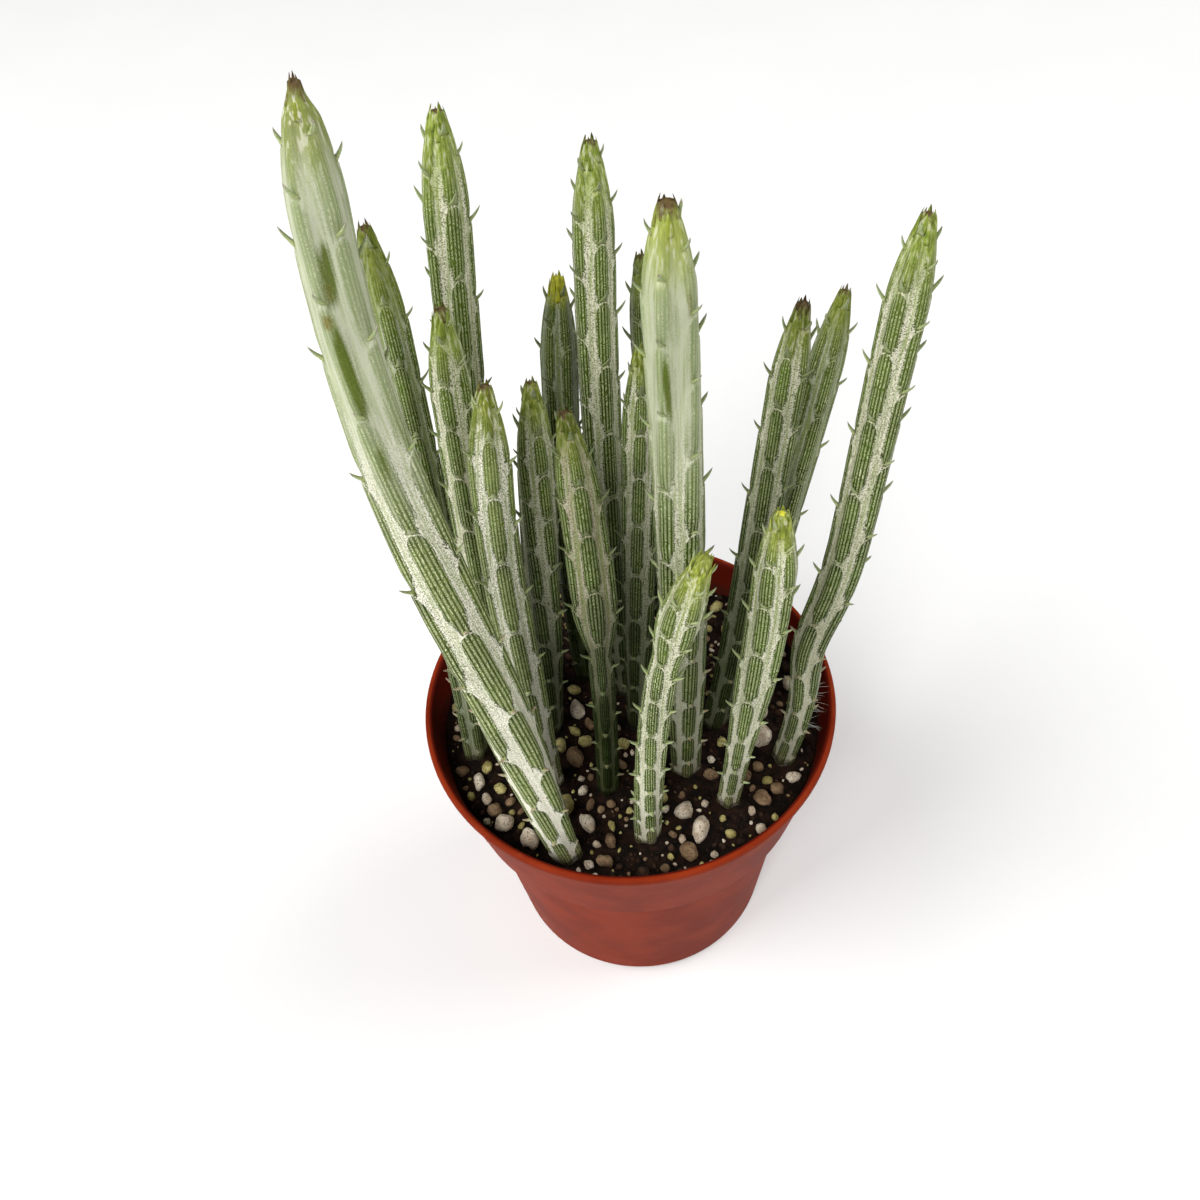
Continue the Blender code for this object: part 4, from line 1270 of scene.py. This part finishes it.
def panel_colour(nodes, spot, look):
    """A panel: dark bands between the rows of stitches, a dark outline and a dark top."""
    return nodes.layers(
        look.panel,
        (spot.broad.step(0.35, 0.65) * 0.55, PANEL_DARK),
        (spot.row * 0.3, PANEL_PALE),
        ((1.0 - spot.row) * spot.medium.step(0.62, 0.40) * 0.55, PANEL_DARK),
        (spot.edge.step(*OUTLINE) * 0.7, PANEL_DARK),
        (spot.below.step(*DARK_TOP) * 0.45, PANEL_DARK),
        (spot.stitch * spot.edge.step(0.05, 0.25) * 0.85, STITCH),
        (spot.high.step(*PALER_SHARES) * 0.25, PANEL_PALE),
        (spot.washed * (0.8 - spot.stitch * 0.6), PANEL_WASHED),
    )


def blotch_layer(nodes, spot, kind, colour):
    """How strongly the blotches of one kind show, and their speckled colour."""
    amount = nodes.value(kind)
    ragged = amount + (spot.streaks - 0.5) * 1.2 * amount + (spot.fine - 0.5) * 0.5 * amount
    return ragged.step(0.15, 0.85) * 0.9, nodes.mix(spot.fine.step(0.4, 0.6) * 0.3, colour, PANEL_DARK)


def skin_colour(nodes, spot, look):
    """Panels on silvery skin, with the scars above the panels, the blotches and the aged foot."""
    scar = spot.above.step(0.0, 0.1) * spot.above.step(SCAR_WIDTH, SCAR_WIDTH * 0.6)
    scar = scar * (spot.half * 0.75 - spot.side).step(0.0, 0.3) * spot.fine.step(0.62, 0.42)
    woody = (spot.run + (spot.broad - 0.5) * 8.0).step(*WOODY_HEIGHTS)
    stained = (spot.run + (spot.medium - 0.5) * 3.0).step(*STAINED_HEIGHTS)
    return nodes.layers(
        silver_colour(nodes, spot, look),
        (spot.panel_share, panel_colour(nodes, spot, look)),
        (scar * (1.0 - spot.washed) * 0.6, SCAR),
        blotch_layer(nodes, spot, "green", BRIGHT_GREEN),
        blotch_layer(nodes, spot, "rust", RUST),
        (woody * 0.3, WOODY),
        (stained * 0.8, SOIL_STAIN),
    )


def cap_colours(nodes, spot, look):
    """The streaked yellow-green of the stem's end, and its withered colour."""
    x, y, z = nodes.split(spot.place)
    wide, long = CAP_LINE_SIZE
    lines = nodes.noise(nodes.join(x / wide, y / wide, z / long), detail=1.0)
    cap = nodes.layers(
        look.cap_colour,
        (lines.step(0.46, 0.62) * (0.58 - look.pale * 0.3), STREAK_DARK),
        (lines.step(0.45, 0.32) * 0.55, look.silver),
    )
    spotted = TIP_BROWN if look.tip_colour == TIP_BROWN else CAP_OLIVE
    return cap, nodes.mix(spot.medium.step(0.45, 0.6) * 0.4, look.tip_colour, spotted)


def leaf_colour(nodes, spot, look, leaf, withered, cap, rotten):
    """The leaves: dried low down, grey-green higher up, and part of the cap round the tip."""
    along = leaf.part()
    dried = (spot.below_tip + (spot.broad - 0.5) * 40.0).step(*DRIED_BELOW_TIP)
    young_tip = (along + (spot.medium - 0.5) * 0.5).step(0.5, 1.1) * withered.step(0.0, 0.3)
    young = nodes.layers(cap, (young_tip, rotten), (withered * 0.9, rotten))
    return nodes.layers(
        LEAF_ROOT,
        (along.step(0.1, 0.5), LEAF_BLADE),
        (along.step(0.45, 1.0) * 0.8, look.leaf_tip),
        (dried * along.step(0.0, 0.5) * 0.7, DRIED_LEAF),
        (spot.fine.step(0.4, 0.65) * 0.4, SILVER),
        (leaf.step(2.4, 2.6), young),
        (leaf.step(4.4, 4.6), HAIR_WHITE),
    )


def stem_material(name, look):
    """Dark green panels on silvery skin, a yellow-green cap with a withered tip, leaves, and painted shade.

    In the layers of a colour a single number is a layer's strength, and step has where a mark starts and where
    it is full.
    """
    nodes = Nodes(name, roughness=0.5, specular=0.12)
    spot = stem_spot(nodes, look)
    cap, rotten = cap_colours(nodes, spot, look)
    cap_share = (spot.below_tip + (spot.broad - 0.5) * 5.0).step(look.cap * 1.35, look.cap * 0.35)
    uneven_depth = spot.below_tip + (spot.medium - 0.5) * 3.0
    withered = uneven_depth.step(look.withered * 1.5, look.withered * 0.4)
    leaf = nodes.value("leaf")
    on_leaf = leaf.step(0.2, 0.9)
    colour = nodes.layers(
        skin_colour(nodes, spot, look),
        (cap_share * 0.85, cap),
        (withered * 0.9, rotten),
        (on_leaf, leaf_colour(nodes, spot, look, leaf, withered, cap, rotten)),
    )
    # Painted shade: deep-set stems are darkened whole, and lower halves (less on leaves) as shade between the
    # stems, partly the darker older base; broad patches add random tone
    low = spot.high.step(*SHADED_SHARES) * look.foot_shade * (1.0 - on_leaf * 0.6)
    colour = nodes.darken(low + spot.broad.step(0.3, 0.8) * 0.12 + look.shade, colour, SHADE)
    height = spot.panel_share * (spot.stitch + 1.0) * 0.5 + spot.fine * 0.6 - spot.edge.step(0.25, 0.05) * 0.2
    return nodes.finish(colour, height, depth=0.18, roughness=0.66 - spot.panel_share * 0.12)


def pot_material():
    """Terracotta-coloured plastic, satin and a little uneven, with painted shade darkening the inside of the
    wall and soil dust above the soil inside.
    """
    nodes = Nodes("pot_plastic", roughness=0.55, specular=0.05)
    place = nodes.place()
    x, y, z = nodes.split(place)
    cloud = nodes.noise(place, width=14.0, detail=3.0)
    grain = nodes.noise(place, width=0.5)
    scuff = nodes.noise(nodes.join(x / 3.0, y / 3.0, z * 2.0), width=2.0, detail=4.0)
    band_slope = (LIP_RADIUS - LIP_BEAD_DEPTH - BAND_FOOT_RADIUS) / BAND_HEIGHT
    wall_middle = (z - (POT_HEIGHT - BAND_HEIGHT) / MM) * band_slope + (BAND_FOOT_RADIUS - 0.5 * WALL) / MM
    in_band = z.step((POT_HEIGHT - BAND_HEIGHT + WALL) / MM, (POT_HEIGHT - BAND_HEIGHT + 2 * WALL) / MM)
    within = (wall_middle - (x * x + y * y).root()).step(-0.1, 0.1) * in_band
    dust = (z + (scuff - 0.5) * 9.0).step(SOIL_LEVEL / MM + 4.5, SOIL_LEVEL / MM - 0.5) * within
    colour = nodes.layers(
        POT_LIGHT,
        (cloud.step(0.35, 0.68), POT_DEEP),
        (scuff.step(0.60, 0.75) * 0.3, POT_SCUFF),
        # The inside of the wall is darkened with painted shade
        (within * 0.8, POT_INSIDE),
        (dust * grain.step(0.35, 0.6) * 0.85, POT_DUST),
    )
    roughness = 0.5 + scuff * 0.12 + dust * 0.3
    return nodes.finish(colour, grain * 0.3 + cloud * 0.2, depth=0.05, roughness=roughness)


def soil_material(name, light, dark, speck):
    """Dark crumbly mix with a few pale specks."""
    nodes = Nodes(name, roughness=0.95, specular=0.15)
    place = nodes.place()
    coarse = nodes.noise(place, width=2.4, detail=3.0)
    fine = nodes.noise(place, width=0.35, detail=3.0)
    colour = nodes.layers(dark, (coarse.step(0.38, 0.66), light), (fine.step(0.66, 0.74) * 0.6, speck))
    return nodes.finish(colour, coarse * 0.6 + fine, depth=0.5)


def stone_material(name, light, dark, stain):
    """Pitted pumice with stained hollows."""
    nodes = Nodes(name, roughness=0.85, specular=0.25)
    place = nodes.place()
    cloud = nodes.noise(place, width=3.4, detail=3.0)
    pits = nodes.noise(place, width=0.4, detail=4.0)
    colour = nodes.layers(light, (cloud.step(0.35, 0.65), dark), (pits.step(0.48, 0.34) * 0.8, stain))
    return nodes.finish(colour, pits + cloud * 0.4, depth=0.35)


def make_stem(growth, growths):
    """One stem as a single piece that stands for its CAD node."""
    name = growth.stem.name
    look = LOOKS[name]
    skin = Skin()
    add_body(skin, growth)
    add_leaves(skin, growth, growths)
    add_crown(skin, growth, look)
    if name == HAIRY_STEM:
        add_hairs(skin, growth)
    material = stem_material(f"{name}_skin", look)
    return add_piece(f"{name}_fine", skin.mesh(f"{name}_fine"), material, "stem", name)


# The floor, the lights and the camera. A light has a place and a size in metres, and a power in watts
FLOOR_SIZE = 6.0
LIGHTS = {
    "key_light": ((-1.3, -0.35, 1.5), 1.4, 34.0),
    "fill_light": ((1.4, 0.3, 1.4), 1.4, 22.0),
    "front_light": ((-0.5, -1.5, 1.7), 0.8, 28.0),
}
SKY_STRENGTH = 0.17
TARGET = (0.0, 0.0, 0.13)
CAMERA_EYE = (-0.0048, -0.1678, 0.3220)
CAMERA_RIGHT = (0.99556, -0.07241, -0.06012)
CAMERA_UP = (0.09411, 0.76598, 0.63596)
CAMERA_LENS = 35.73
SENSOR_WIDTH = 36.0
NEAREST_SEEN = 0.01


def add_light(name, place, size, power):
    """A large soft light that faces the plant."""
    light = bpy.data.lights.new(name, "AREA")
    light.shape = "SQUARE"
    light.size = size
    light.energy = power
    lamp = put(name, light)
    lamp.location = place
    toward = Vector(TARGET) - Vector(place)
    lamp.rotation_euler = toward.to_track_quat("-Z", "Y").to_euler()


def make_stage():
    """A plain pale floor and soft studio light."""
    bpy.context.scene.view_settings.view_transform = "Standard"
    mesh = bpy.data.meshes.new("floor")
    half = 0.5 * FLOOR_SIZE
    corners = ((-half, -half, 0.0), (half, -half, 0.0), (half, half, 0.0), (-half, half, 0.0))
    mesh.from_pydata(corners, [], [(0, 1, 2, 3)])
    nodes = Nodes("floor_paper", roughness=0.9, specular=0.1)
    paper = nodes.noise(nodes.place(), width=60.0)
    mesh.materials.append(nodes.finish(nodes.mix(paper, *PAPER), paper, depth=0.02))
    put("floor", mesh)
    world = bpy.data.worlds.new("studio")
    world.use_nodes = True
    sky = world.node_tree.nodes["Background"].inputs
    sky["Color"].default_value = (1.0, 1.0, 1.0, 1.0)
    sky["Strength"].default_value = SKY_STRENGTH
    bpy.context.scene.world = world
    for name, light in LIGHTS.items():
        add_light(name, *light)


def make_camera():
    """A camera where the photograph was taken from."""
    camera_data = bpy.data.cameras.new("camera")
    camera_data.lens = CAMERA_LENS
    camera_data.sensor_width = SENSOR_WIDTH
    camera_data.clip_start = NEAREST_SEEN
    camera = put("camera", camera_data)
    right = Vector(CAMERA_RIGHT).normalized()
    backward = right.cross(Vector(CAMERA_UP)).normalized()
    up = backward.cross(right)
    turn = Matrix((right, up, backward)).transposed().to_4x4()
    camera.matrix_world = Matrix.Translation(CAMERA_EYE) @ turn
    bpy.context.scene.camera = camera


def main():
    growths = [Growth(stem) for stem in STEMS]
    make_pot(pot_material())
    make_soil(soil_material("soil_mix", *SOIL_MIX))
    grains = {f"grains_{name}": stone_material(f"pumice_{name}", *tints) for name, tints in PUMICE.items()}
    grains["soil_crumbs"] = soil_material("soil_crumb", *SOIL_CRUMB)
    make_grains(growths, grains)
    for growth in growths:
        make_stem(growth, growths)
    make_stage()
    make_camera()


main()
